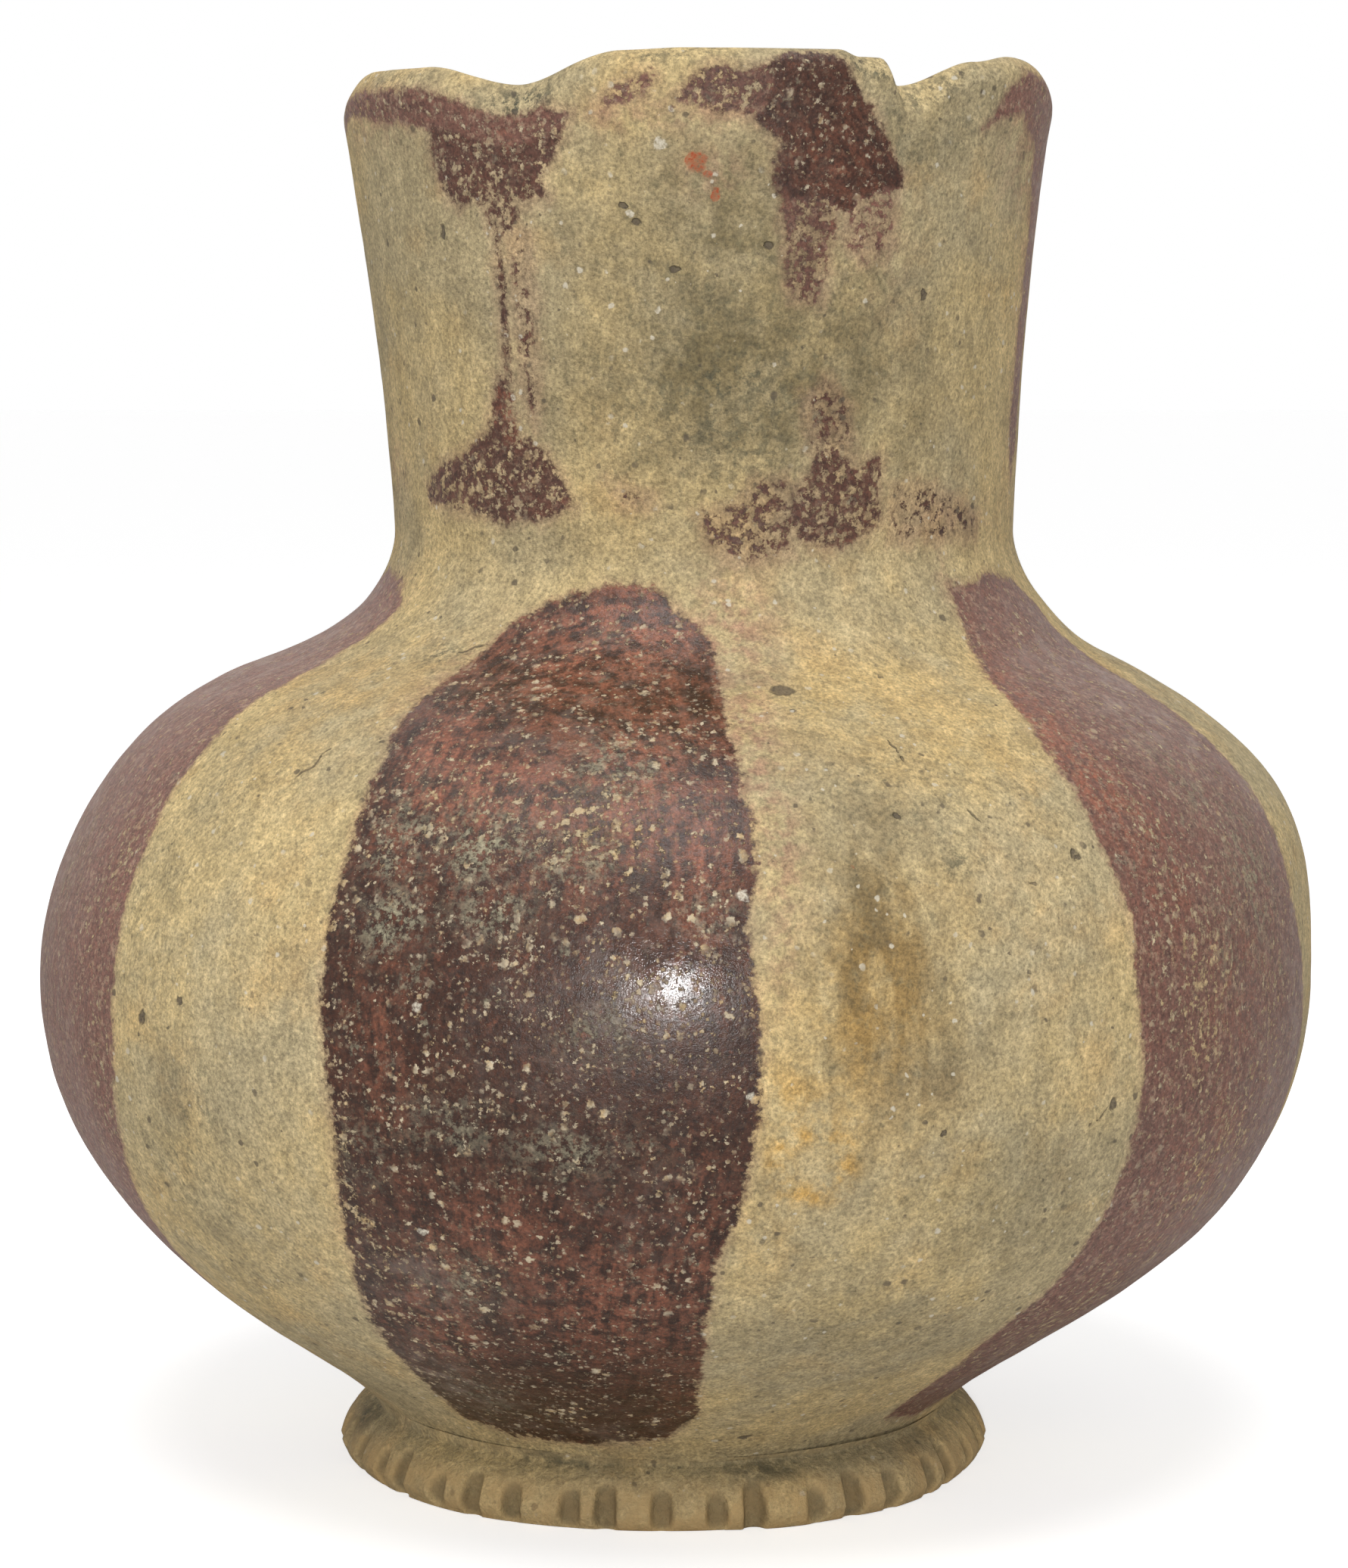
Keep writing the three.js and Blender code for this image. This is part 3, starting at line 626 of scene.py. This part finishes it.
def foot_profile():
    """The closed outline of the ring foot: standing face, edge, shoulder, soft crease, seat and inner wall."""
    crease = distance_at(FOOT_CREASE)
    feather = crease + FOOT_FILLET
    meeting, up = wall_point(np.array([feather]), FEATHER_SINK)[0], along(np.array([feather]), TANGENT)[0]
    standing, widest = np.array([FOOT_STANDING, 0]), np.array([FOOT_RADIUS, FOOT_WIDEST])
    edge_start = standing - [FOOT_EDGE_ROUND, 0]
    edge = bend(edge_start, standing, widest)
    bank = wall_point(np.array([crease]))[0] + np.array(FOOT_BANK)
    over = np.array(FOOT_SHOULDER)
    shoulder = bend(widest, over, bank)
    downhill = (bank - over) / np.linalg.norm(bank - over)
    saddle = bezier((bank, bank + downhill * FOOT_FILLET, meeting - up * FOOT_FILLET * 0.7, meeting), 8)
    seat_height = UNDERSIDE[1] - SLIP_GAP
    under = np.stack([np.linspace(FOOT_STANDING_INNER, edge_start[0], 8)[:-1], np.zeros(7)], -1)
    seat = wall_point(steps_between(crease, 0, 0.8), -SLIP_GAP)
    ledge = np.array([[UNDERSIDE[0], seat_height], [36, seat_height], [FOOT_INNER, seat_height]])
    inner = np.stack([np.full(5, float(FOOT_INNER)), np.linspace(seat_height, FOOT_EDGE_ROUND, 6)[1:]], -1)
    profile = Profile()
    profile.add_curve(np.vstack([under, edge, shoulder[1:], saddle[1:]]), UNPAINTED)
    profile.joint_here()
    profile.add_curve(np.vstack([seat, ledge, inner]), UNPAINTED)
    return profile


def press_notches(radius, height, angle):
    """The ring's radius where a round stick was pressed into it, notch after notch, and how deep it is there."""
    pressed = radius.copy()
    for index in range(NOTCHES):
        wander = NOTCH_WANDER * np.sin(index * 2.4)
        depth = NOTCH_DEPTH * (1 + 0.25 * np.sin(index * 3.7))
        aside = arc(angle, index * 360 / NOTCHES + wander) * np.radians(1) * FOOT_RADIUS
        axis = FOOT_RADIUS - depth + NOTCH_WIDTH / 2 + (height - FOOT_WIDEST) * NOTCH_LEAN
        bottom = axis - np.sqrt(np.maximum((NOTCH_WIDTH / 2) ** 2 - aside**2, 0))
        soft = smooth(NOTCH_WIDTH / 2 - np.abs(aside), 0, NOTCH_SOFT) * (radius > FOOT_INNER + 4)
        pressed = np.minimum(pressed, radius - np.maximum(radius - bottom, 0) * soft)
    return pressed, radius - pressed


def foot_piece():
    profile = foot_profile()
    angle, (radius, height, _), outward = turn(profile, FOOT_ROUND_STEPS)
    radius, groove = press_notches(radius, height, angle)
    for middle, wide, far in FOOT_SWELLS:
        outer = smooth(radius, FOOT_STANDING_INNER, FOOT_RADIUS)
        radius = radius + far * np.exp(-((arc(angle, middle) / wide) ** 2)) * outer
    a = np.radians(angle)
    points = np.stack([radius * np.sin(a) + FOOT_SHIFT, -radius * np.cos(a), height], -1).reshape(-1, 3)
    fields = surface_fields(points, radius, height, angle)
    fields["groove"] = np.clip(groove / NOTCH_DEPTH, 0, 1).ravel()
    fields["saddle"] = np.exp(-(((height - FOOT_CREASE + 0.2) / 2) ** 2)).ravel()
    # Darker patches round the crease: stains and painted crease shade.
    fields["crease_stain_and_shade"] = patches(CREASE_STAINS_AND_SHADE, radius, height, angle).ravel()
    worked = np.where(height > 0.2, 1, 0).ravel()
    points = points + outward * (fine_unevenness(points) * worked)[:, None]
    return make_piece("foot_clay", points, FOOT_ROUND_STEPS, profile.sharp, [], "foot_ring", fields)


class Value:
    """A number that a node gives. Arithmetic on it makes Math nodes."""

    def __init__(self, graph, socket):
        self.graph, self.socket = graph, socket

    def __add__(self, other):
        return self.graph.math("ADD", self, other)

    def __sub__(self, other):
        return self.graph.math("SUBTRACT", self, other)

    def __rsub__(self, other):
        return self.graph.math("SUBTRACT", other, self)

    def __mul__(self, other):
        return self.graph.math("MULTIPLY", self, other)

    __radd__, __rmul__ = __add__, __mul__

    def clamped(self):
        self.socket.node.use_clamp = True
        return self


class Graph:
    """A small builder for the nodes of a material or the world."""

    def __init__(self, owner):
        owner.use_nodes = True
        self.tree = owner.node_tree
        self.tree.nodes.clear()
        self.place = self.node("TexCoord", {}).outputs["Object"]

    def set(self, socket, value):
        if isinstance(value, Value):
            value = value.socket
        if isinstance(value, bpy.types.NodeSocket):
            self.tree.links.new(value, socket)
        elif isinstance(value, tuple) and socket.type == "RGBA":
            socket.default_value = (*value, 1)
        else:
            socket.default_value = value

    def node(self, kind, inputs, **settings):
        made = self.tree.nodes.new("ShaderNode" + kind)
        for key, value in settings.items():
            setattr(made, key, value)
        for key, value in inputs.items():
            self.set(made.inputs[key], value)
        return made

    def math(self, operation, a, b):
        return Value(self, self.node("Math", {0: a, 1: b}, operation=operation).outputs[0])

    def vector(self, operation, *inputs, output="Vector"):
        return self.node("VectorMath", dict(enumerate(inputs)), operation=operation).outputs[output]

    def field(self, name):
        return Value(self, self.node("Attribute", {}, attribute_name=name).outputs["Fac"])

    def scaled(self, size, stretch=(1, 1, 1), shift=0):
        """The place in steps of a size in mm, shifted so that no two noises match."""
        scale = tuple(s / (size * MM) for s in stretch)
        inputs = {"Vector": self.place, "Scale": scale, "Location": (shift, shift * 0.7, 3)}
        return self.node("Mapping", inputs).outputs["Vector"]

    def texture(self, vector, scale, detail, rough):
        inputs = {"Vector": vector, "Scale": scale, "Detail": detail, "Roughness": rough}
        return self.node("TexNoise", inputs)

    def noise(self, size, detail, rough=0.55, stretch=(1, 1, 1), shift=0):
        return Value(self, self.texture(self.scaled(size, stretch, shift), 1, detail, rough).outputs["Fac"])

    def step(self, value, low, high, soft=True):
        kind = "SMOOTHSTEP" if soft else "LINEAR"
        inputs = {"Value": value, "From Min": low, "From Max": high, "To Min": 0, "To Max": 1}
        return Value(self, self.node("MapRange", inputs, interpolation_type=kind).outputs["Result"])

    def blotches(self, low, high, *noise, soft=True, **more):
        """0 where a noise is under low and 1 where it is over high."""
        return self.step(self.noise(*noise, **more), low, high, soft)

    def grains(self, size, smallest, largest, shift, ragged=0.35):
        """Scattered grains of uneven size and outline: 1 in a grain, 0 between them. Sizes are shares of a cell."""
        place = self.scaled(size, shift=shift)
        push = self.vector("MULTIPLY_ADD", self.texture(place, 2.6, 2, 0.5).outputs["Color"], (ragged,) * 3, place)
        cell = self.node("TexVoronoi", {"Vector": push, "Scale": 1}, feature="F1")
        chance = self.node("SeparateColor", {0: cell.outputs["Color"]}).outputs[0]
        reach = smallest + self.math("POWER", chance, 2) * (largest - smallest)
        return 1 - self.step(self.math("DIVIDE", cell.outputs["Distance"], reach), 0.7, 1.15)

    def mix(self, share, a, b, blend="MIX"):
        return self.node("Mix", {0: share, 6: a, 7: b}, data_type="RGBA", blend_type=blend).outputs[2]

    def vary(self, colour, source, swing):
        """A colour that follows a noise, from 1 - swing to 1 + swing of itself."""
        share = (1 - swing) + source * (2 * swing)
        grey = self.node("CombineColor", {0: share, 1: share, 2: share}).outputs[0]
        return self.mix(1, colour, grey, "MULTIPLY")

    def wobbled(self, size, amount):
        """The place, pushed about by a noise of the given size and amount in mm."""
        colour = self.texture(self.scaled(size, shift=61), 1, 3, 0.5).outputs["Color"]
        centred = self.vector("SUBTRACT", colour, (0.5, 0.5, 0.5))
        return self.vector("ADD", self.place, self.vector("MULTIPLY", centred, (amount * MM,) * 3))

    def spot(self, centre, size, wobble):
        """1 inside a ragged ellipsoid, given by its centre and half axes in mm, and 0 outside it."""
        offset = self.vector("SUBTRACT", wobble, tuple(c * MM for c in centre))
        scaled = self.vector("MULTIPLY", offset, tuple(1 / (half * MM) for half in size))
        return 1 - self.step(self.vector("LENGTH", scaled, output="Value"), 0.75, 1.15)

    def crack(self, start, end, width, wobble):
        """1 on a wandering line between two points in mm, fading at its ends."""
        start, end = Vector(start) * MM, Vector(end) * MM
        along_line = tuple((end - start).normalized())
        offset = self.vector("SUBTRACT", wobble, tuple((start + end) / 2))
        aside = self.vector("LENGTH", self.vector("CROSS_PRODUCT", offset, along_line), output="Value")
        reach = self.math("ABSOLUTE", self.vector("DOT_PRODUCT", offset, along_line, output="Value"), 0)
        half = (end - start).length / 2
        line = 1 - self.step(aside, width * MM * 0.4, width * MM)
        return line * (1 - self.step(reach, half * 0.7, half))

    def finish(self, colour, rough, height):
        """The surface itself, with its relief as bump."""
        relief = {"Height": height, "Strength": 0.85, "Distance": 0.4 * MM}
        bump = self.node("Bump", relief).outputs["Normal"]
        surface = {"Base Color": colour, "Roughness": rough, "Normal": bump, "IOR": 1.4}
        shader = self.node("BsdfPrincipled", surface).outputs["BSDF"]
        self.node("OutputMaterial", {"Surface": shader})


# Colours, in linear light. Clay first, then its stains and painted shade, then the slip, what weathers it and its
# painted sheen.
WARM_BUFF = (0.592, 0.45, 0.222)
COOL_BUFF = (0.465, 0.374, 0.212)
GREY_BUFF = (0.41, 0.355, 0.232)
OLIVE_BUFF = (0.21, 0.163, 0.080)
ORANGE_BUFF = (0.62, 0.36, 0.12)
OLIVE_FLECK = (0.17, 0.15, 0.085)
DARK_SPECK = (0.09, 0.07, 0.05)
WHITE_GRAIN = (0.66, 0.60, 0.48)
OCHRE_STAIN = (0.56, 0.33, 0.09)
# Darker brown of the brown patches.
DARK_BROWN = (0.19, 0.135, 0.062)
# Soot stains, and painted shade in the dent under the rim's right pinch.
SOOT_AND_SHADE = (0.075, 0.075, 0.05)
PINK_WASH = (0.34, 0.17, 0.12)
RED_SPOT = (0.38, 0.07, 0.025)
DEEP_SLIP = (0.032, 0.010, 0.004)
BRICK_SLIP = (0.25, 0.088, 0.048)
PURPLE_SLIP = (0.182, 0.085, 0.062)
# Bloom of weathered slip, also painted as sheen round the highlight and on the side lobes.
SLIP_BLOOM_AND_SHEEN = (0.36, 0.275, 0.232)
SLIP_FLECK = (0.52, 0.36, 0.24)
SLIP_GROUND = (0.64, 0.55, 0.40)
CRUST_COLOUR = (0.36, 0.335, 0.225)
# Dark colour of the foot: in its grooves, and in its crease as stains and painted crease shade.
FOOT_DARKENING = (0.085, 0.075, 0.045)
FOOT_TAN = (0.60, 0.41, 0.19)


def on_jar(angle, height):
    """The point of the outside at an angle and a height of the outline, in mm."""
    radius = wall_point(np.array([distance_at(height)]))[0][0]
    return tuple(by_hand(np.array(radius), np.array(float(height)), np.array(float(angle))))


# Marks in the clay: pits with their half axes, red spots, and cracks from point to point.
PITS = [
    (11.6, 111, (1.5, 1.5, 0.9)), (19.2, 97.6, (0.6, 0.6, 0.5)), (18, 98.6, (0.45, 0.45, 0.4)),
    (36, 92, (0.8, 0.8, 0.7)), (38.6, 61, (0.75, 0.75, 0.75)), (22, 60, (0.5, 0.5, 0.4)),
    (24, 78, (0.3, 0.3, 0.3)), (-50, 70, (0.8, 0.8, 0.9)), (-45, 73, (0.6, 0.6, 0.5)), (-10, 169, (0.7, 0.7, 0.5)),
    (-12, 171, (0.6, 0.6, 0.4)), (11, 166, (0.6, 0.6, 0.5)), (-4, 163, (0.6, 0.6, 0.5)),
    (-46, 168, (0.5, 0.5, 0.9)), (40, 160, (0.4, 0.4, 0.8)), (14, 12.8, (1.0, 1.0, 0.5)),
    (150, 90, (0.8, 0.8, 0.7)), (205, 70, (0.7, 0.7, 0.7)), (262, 100, (0.7, 0.7, 0.6)),
]
CRACKS = [
    ((25.4, 99), (28.4, 95)), ((28.4, 95), (29.7, 93.4)), ((27, 103.6), (27.6, 101.6)), ((30, 89.2), (33.6, 88.2)),
    ((-38, 113.6), (-33, 115.4)), ((36, 58.6), (38.6, 61)), ((-40, 100), (-38, 104)), ((21.8, 106), (22.8, 103)),
    ((146, 100), (150, 96)), ((196, 80), (198, 75)),
]
RED_SPOTS = [
    (-0.4, 176.4, (1.5, 1.5, 1.3)), (2.6, 172.4, (0.8, 0.8, 0.9)), (1.2, 174.8, (0.8, 0.8, 0.7)),
    (14, 92, (0.4, 0.4, 0.5)),
]
WHITE_LUMPS = [
    (-21, 75.6, (0.6, 0.6, 0.6)), (4.6, 89, (0.8, 0.8, 0.6)), (6, 65.6, (0.5, 0.5, 0.6)),
    (-22, 47, (0.7, 0.7, 0.5)), (-6, 178.6, (0.8, 0.8, 0.7)), (-34, 147, (0.5, 0.5, 0.5)),
    (-7, 158, (0.5, 0.5, 0.5)), (-11, 170, (0.6, 0.6, 0.4)),
]


def strongest(g, masks):
    total = masks[0]
    for mask in masks[1:]:
        total = g.math("MAXIMUM", total, mask)
    return total


def buff_clay(g):
    """Coarse buff clay: warm and cool drifts, grey-green mottling, dark flecks, pale sand and stains, with painted
    shade in the dent under the rim's right pinch and in the crease above the foot.
    """
    colour = g.mix(g.blotches(0.40, 0.60, 26, 4, 0.55), WARM_BUFF, COOL_BUFF)
    orange = g.blotches(0.52, 0.70, 13, 5, 0.62, shift=10)
    colour = g.mix(orange * 0.26, colour, ORANGE_BUFF)
    cloud = g.blotches(0.40, 0.64, 7, 6, 0.66, shift=9)
    colour = g.mix(cloud * (0.10 + g.field("grey") * 0.75) * 0.85, colour, GREY_BUFF)
    olive = g.blotches(0.34, 0.62, 5, 6, 0.68, shift=19)
    colour = g.mix(g.field("olive") * (0.5 + olive * 0.5), colour, OLIVE_BUFF)
    brown = g.field("brown") * g.blotches(0.28, 0.58, 5, 5, 0.62, stretch=(1, 1, 0.4), shift=7)
    colour = g.mix((brown * 0.86).clamped(), colour, DARK_BROWN)
    ochre = g.field("ochre") * g.blotches(0.34, 0.60, 5, 5, 0.62, shift=17)
    colour = g.mix((ochre * 0.8).clamped(), colour, OCHRE_STAIN)
    # Soot patches darken the flecks and the clay: soot stains, and painted shade in the dent under the rim's right
    # pinch.
    soot_and_shade = g.field("soot_and_shade")
    flecks = g.blotches(0.53, 0.64, 1.3, 5, 0.74, stretch=(1, 1, 0.8), shift=4)
    colour = g.mix(flecks * (0.34 + soot_and_shade * 0.5).clamped(), colour, OLIVE_FLECK)
    colour = g.mix(soot_and_shade * g.blotches(0.48, 0.57, 1.5, 6, 0.72, shift=2) * 0.82, colour, SOOT_AND_SHADE)
    wash = g.field("wash") * g.blotches(0.38, 0.62, 2.4, 5, 0.66, shift=16)
    colour = g.mix(wash * 0.72, colour, PINK_WASH)
    fringe = g.field("paint") + g.noise(2.2, 5, 0.7, shift=18) * 4.4
    colour = g.mix(g.step(fringe, 0.6, 3) * 0.26, colour, PINK_WASH)
    grain = g.blotches(0.30, 0.70, 0.5, 3, 0.74, shift=1, soft=False)
    colour = g.vary(colour, grain, 0.44)
    colour = g.vary(colour, g.blotches(0.32, 0.68, 1.5, 4, 0.7, stretch=(1, 1, 0.7), shift=5, soft=False), 0.20)
    colour = g.vary(colour, g.blotches(0.32, 0.68, 5, 5, 0.66, stretch=(1, 1, 0.5), shift=6, soft=False), 0.16)
    specks = g.grains(2.2, 0.05, 0.26, 12) * g.blotches(0.44, 0.58, 6, 3, shift=13)
    colour = g.mix(specks * 0.75, colour, DARK_SPECK)
    sand = g.grains(1.9, 0.05, 0.24, 3) * g.blotches(0.42, 0.56, 9, 3, shift=8)
    return g.mix(sand * 0.75, colour, WHITE_GRAIN), grain


def dark_slip(g):
    """Burnished slip: deep brown with brick-red brush marks, purple on the sides, greyed where it has weathered and
    with painted sheen round the highlight and on the side lobes.
    """
    tone, bloom_and_sheen = g.field("tone"), g.field("bloom_and_sheen")
    strokes = g.node("Attribute", {}, attribute_name="brushed").outputs["Vector"]
    brushed = Value(g, g.texture(strokes, 0.9, 4, 0.62).outputs["Fac"])
    red = g.step(brushed * 0.3 + g.noise(2.6, 6, 0.7, shift=21) * 0.7, 0.42, 0.58)
    colour = g.mix(tone, DEEP_SLIP, PURPLE_SLIP)
    colour = g.mix((0.08 + g.field("brick") * 0.88) * red, colour, BRICK_SLIP)
    colour = g.mix(g.blotches(0.58, 0.68, 1.6, 4, 0.7, shift=22) * 0.32, colour, BRICK_SLIP)
    colour = g.vary(colour, g.step(brushed, 0.32, 0.68, soft=False), 0.16)
    fine = g.blotches(0.30, 0.70, 0.5, 3, 0.74, shift=24, soft=False)
    colour = g.vary(colour, fine, 0.62)
    dusty = g.blotches(0.52, 0.63, 1.1, 6, 0.78, shift=26)
    colour = g.mix(dusty * (0.06 + tone * 0.48), colour, SLIP_FLECK)
    # Bloom colour where the slip weathered, and painted sheen round the highlight and on the side lobes.
    veil = g.blotches(0.46, 0.62, 3.6, 7, 0.76, shift=25)
    colour = g.mix(veil * (0.03 + bloom_and_sheen * 0.50), colour, SLIP_BLOOM_AND_SHEEN)
    return g.mix(bloom_and_sheen * 0.10, colour, SLIP_BLOOM_AND_SHEEN), fine


def slip_cover(g):
    """Where the slip still is: ragged at its edges, and rubbed through in flecks."""
    wear = g.field("wear")
    ragged = (g.noise(3.8, 5, 0.68, shift=31) - 0.5) * 3.4
    nibbled = (g.noise(0.9, 3, 0.7, shift=32) - 0.5) * 2.6
    cover = g.step(g.field("paint") + (ragged + nibbled) - wear * 1.2, -0.45, 0.55)
    rubbed = g.step(g.noise(1.15, 6, 0.70, shift=33) + wear * 0.24, 0.60, 0.67)
    flecks = g.grains(1.5, 0.08, 0.48, 34, 0.9) * g.blotches(0.44, 0.62, 5.5, 4, 0.6, shift=35)
    pinholes = g.grains(0.75, 0.10, 0.50, 36, 0.9) * g.blotches(0.41, 0.64, 4, 4, 0.6, shift=37)
    few = 1 - g.field("tone") * 0.6
    return cover * (1 - strongest(g, [rubbed, flecks * few, pinholes * few * 0.8]))


def crust_cover(g):
    """Grey-green mineral crust: soft patches broken into crumbs."""
    crumbs = g.blotches(0.46, 0.54, 1.1, 6, 0.76, shift=41)
    placed = g.field("crust") * g.blotches(0.40, 0.54, 3.4, 5, 0.68, shift=42)
    strays = g.blotches(0.60, 0.70, 3.4, 4, 0.66, shift=43) * 0.5
    return g.math("MAXIMUM", placed, strays) * crumbs


def clay_material(name):
    """Clay, slip and crust in one surface, so that it runs on from piece to piece."""
    material = bpy.data.materials.new(name)
    g = Graph(material)
    colour, grain = buff_clay(g)
    slip, fine = dark_slip(g)
    cover, crust = slip_cover(g), crust_cover(g)
    unworn = (1 - g.field("wear") * 2.2).clamped()
    beneath = g.step(g.field("paint"), 0.2, 2) * g.blotches(0.35, 0.60, 1.1, 2, shift=38) * unworn
    colour = g.mix(beneath * 0.75, colour, SLIP_GROUND)
    colour = g.mix(cover, colour, slip)
    slipped = g.step(g.field("paint"), -0.5, 1.5)
    colour = g.mix(crust * slipped * 0.78, colour, g.vary(CRUST_COLOUR, fine, 0.5))
    ragged, wavy = g.wobbled(1.2, 1.5), g.wobbled(2.4, 2.2)
    pits, reds, lumps = (
        strongest(g, [g.spot(on_jar(angle, height), size, ragged) for angle, height, size in marks])
        for marks in (PITS, RED_SPOTS, WHITE_LUMPS)
    )
    cracks = strongest(g, [g.crack(on_jar(*start), on_jar(*end), 0.26, wavy) for start, end in CRACKS])
    colour = g.mix(reds * grain * 1.1, colour, RED_SPOT)
    colour = g.mix(lumps * grain * 1.2, colour, WHITE_GRAIN)
    hollows = g.math("MAXIMUM", pits * (0.55 + grain * 0.5), cracks * 0.65)
    colour = g.mix(hollows, colour, DARK_SPECK)
    matte = 0.70 + grain * 0.25
    gloss = 0.10 + g.noise(1.3, 5, 0.75, shift=52) * 0.46
    gloss = gloss + (g.field("wear") + g.field("tone")) * 0.2 - g.field("polish") * 0.26
    rough = (matte + cover * (gloss - matte) + crust * 0.3).clamped()
    relief = g.noise(1.4, 5, 0.7, shift=51) * 0.65 + grain * 0.35
    levelled = 0.68 + g.field("polish") * 0.24
    height = relief * (1 - cover * levelled) + (cover * 0.14 + crust * 0.2)
    g.finish(colour, rough, height - g.math("MAXIMUM", pits, cracks) * 1.6)
    return material


def foot_material(name):
    """The ring foot's clay: tan on the ridges, dark in the grooves, and darker in the saddle above them, with
    stains and painted crease shade.
    """
    material = bpy.data.materials.new(name)
    g = Graph(material)
    colour, grain = buff_clay(g)
    saddle = g.field("saddle")
    ridge = g.blotches(0.36, 0.62, 4, 5, 0.6, shift=71)
    colour = g.mix((1 - saddle) * (0.34 + ridge * 0.5), colour, FOOT_TAN)
    # Olive darkening, strongest in the saddle of the crease: stain and painted crease shade.
    olive = g.blotches(0.40, 0.62, 3, 6, 0.7, shift=72)
    colour = g.mix(olive * g.math("MAXIMUM", saddle, 0.25) * 0.36, colour, OLIVE_FLECK)
    # The crease patches, darkened: stains and painted crease shade.
    crease_stain_and_shade = g.field("crease_stain_and_shade") * g.blotches(0.36, 0.58, 2.6, 6, 0.7, shift=73)
    colour = g.mix(crease_stain_and_shade * 0.85, colour, FOOT_DARKENING)
    # Darker in the grooves, the deeper they are.
    groove_darkening = g.step(g.field("groove"), 0.04, 0.62) * (0.62 + g.noise(1.6, 4, 0.66, shift=74) * 0.6)
    colour = g.mix((groove_darkening * 0.56).clamped(), colour, FOOT_DARKENING)
    g.finish(colour, 0.70 + grain * 0.25, g.noise(1.6, 5, 0.7, shift=75) + grain * 0.4)
    return material


jar_pieces = [
    base_piece(),
    wall_piece("lower_wall", BASE_JOINT, LOWER_JOINT),
    wall_piece("belly_wall", LOWER_JOINT, UPPER_JOINT),
    wall_piece("shoulder_wall", UPPER_JOINT, NECK_JOINT),
    wall_piece("neck", NECK_JOINT, RIM_JOINT),
    rim_piece(),
]
jar_clay = clay_material("jar_clay")
for piece in jar_pieces:
    piece.data.materials.append(jar_clay)
foot_piece().data.materials.append(foot_material("foot_clay_and_crease_shade"))

# Light from the white room on the object, and the floor's own glow to the camera, which keeps its far end white.
WORLD_LIGHT = 0.36
FLOOR_GLOW = 0.62
FLOOR_REACH = 6

# The camera stands in front of the jar, a little above its middle, and looks slightly down.
CAMERA_DISTANCE = 0.570
CAMERA_HEIGHT = 0.158
AIM_HEIGHT = 0.093
FOCAL_PIXELS = 5495
PHOTO_LONG_SIDE = 2072
SENSOR = 36


def set_up(name, data, place, aim):
    thing = bpy.data.objects.new(name, data)
    bpy.context.scene.collection.objects.link(thing)
    thing.location = place
    thing.rotation_euler = (Vector(aim) - Vector(place)).to_track_quat("-Z", "Y").to_euler()
    return thing


def add_camera():
    data = bpy.data.cameras.new("camera")
    data.sensor_width = SENSOR
    data.lens = FOCAL_PIXELS * SENSOR / PHOTO_LONG_SIDE
    data.clip_start = 0.01
    place = (0, -CAMERA_DISTANCE, CAMERA_HEIGHT)
    bpy.context.scene.camera = set_up("camera", data, place, (0, 0, AIM_HEIGHT))


def add_lamp(name, place, aim, size, power):
    data = bpy.data.lights.new(name, "AREA")
    data.shape = "DISK"
    data.size = size
    data.energy = power
    set_up(name, data, place, aim)


def add_floor():
    far = FLOOR_REACH
    mesh = bpy.data.meshes.new("floor")
    mesh.from_pydata([(-far, -far, 0), (far, -far, 0), (far, far, 0), (-far, far, 0)], [], [(0, 1, 2, 3)])
    floor = bpy.data.objects.new("floor", mesh)
    bpy.context.scene.collection.objects.link(floor)
    material = bpy.data.materials.new("pale_floor")
    g = Graph(material)
    shader = g.node("BsdfPrincipled", {"Base Color": (0.85, 0.85, 0.85), "Roughness": 0.9})
    seen = g.math("MULTIPLY", g.node("LightPath", {}).outputs["Is Camera Ray"], FLOOR_GLOW)
    glow = g.node("Emission", {"Color": (1, 1, 1), "Strength": seen})
    both = g.node("AddShader", {0: shader.outputs["BSDF"], 1: glow.outputs["Emission"]})
    g.node("OutputMaterial", {"Surface": both.outputs[0]})
    mesh.materials.append(material)


def add_world():
    """White to the camera and in reflections, and dimmer where it lights the object."""
    world = bpy.data.worlds.new("studio")
    bpy.context.scene.world = world
    g = Graph(world)
    path = g.node("LightPath", {}).outputs
    mirrored = g.math("MAXIMUM", path["Is Glossy Ray"], path["Is Transmission Ray"])
    white = g.math("MAXIMUM", path["Is Camera Ray"], mirrored)
    seen = g.node("MapRange", {"Value": white, "To Min": WORLD_LIGHT, "To Max": 1}).outputs["Result"]
    background = g.node("Background", {"Color": (1, 1, 1), "Strength": seen}).outputs["Background"]
    g.node("OutputWorld", {"Surface": background})


add_camera()
add_floor()
add_world()
add_lamp("front_lamp", (-0.02, -0.80, 0.20), (0, 0, 0.09), 0.05, 2.0)
add_lamp("top_lamp", (-0.05, -0.35, 0.95), (0, 0, 0.1), 0.6, 5.4)
bpy.context.scene.view_settings.view_transform = "Standard"
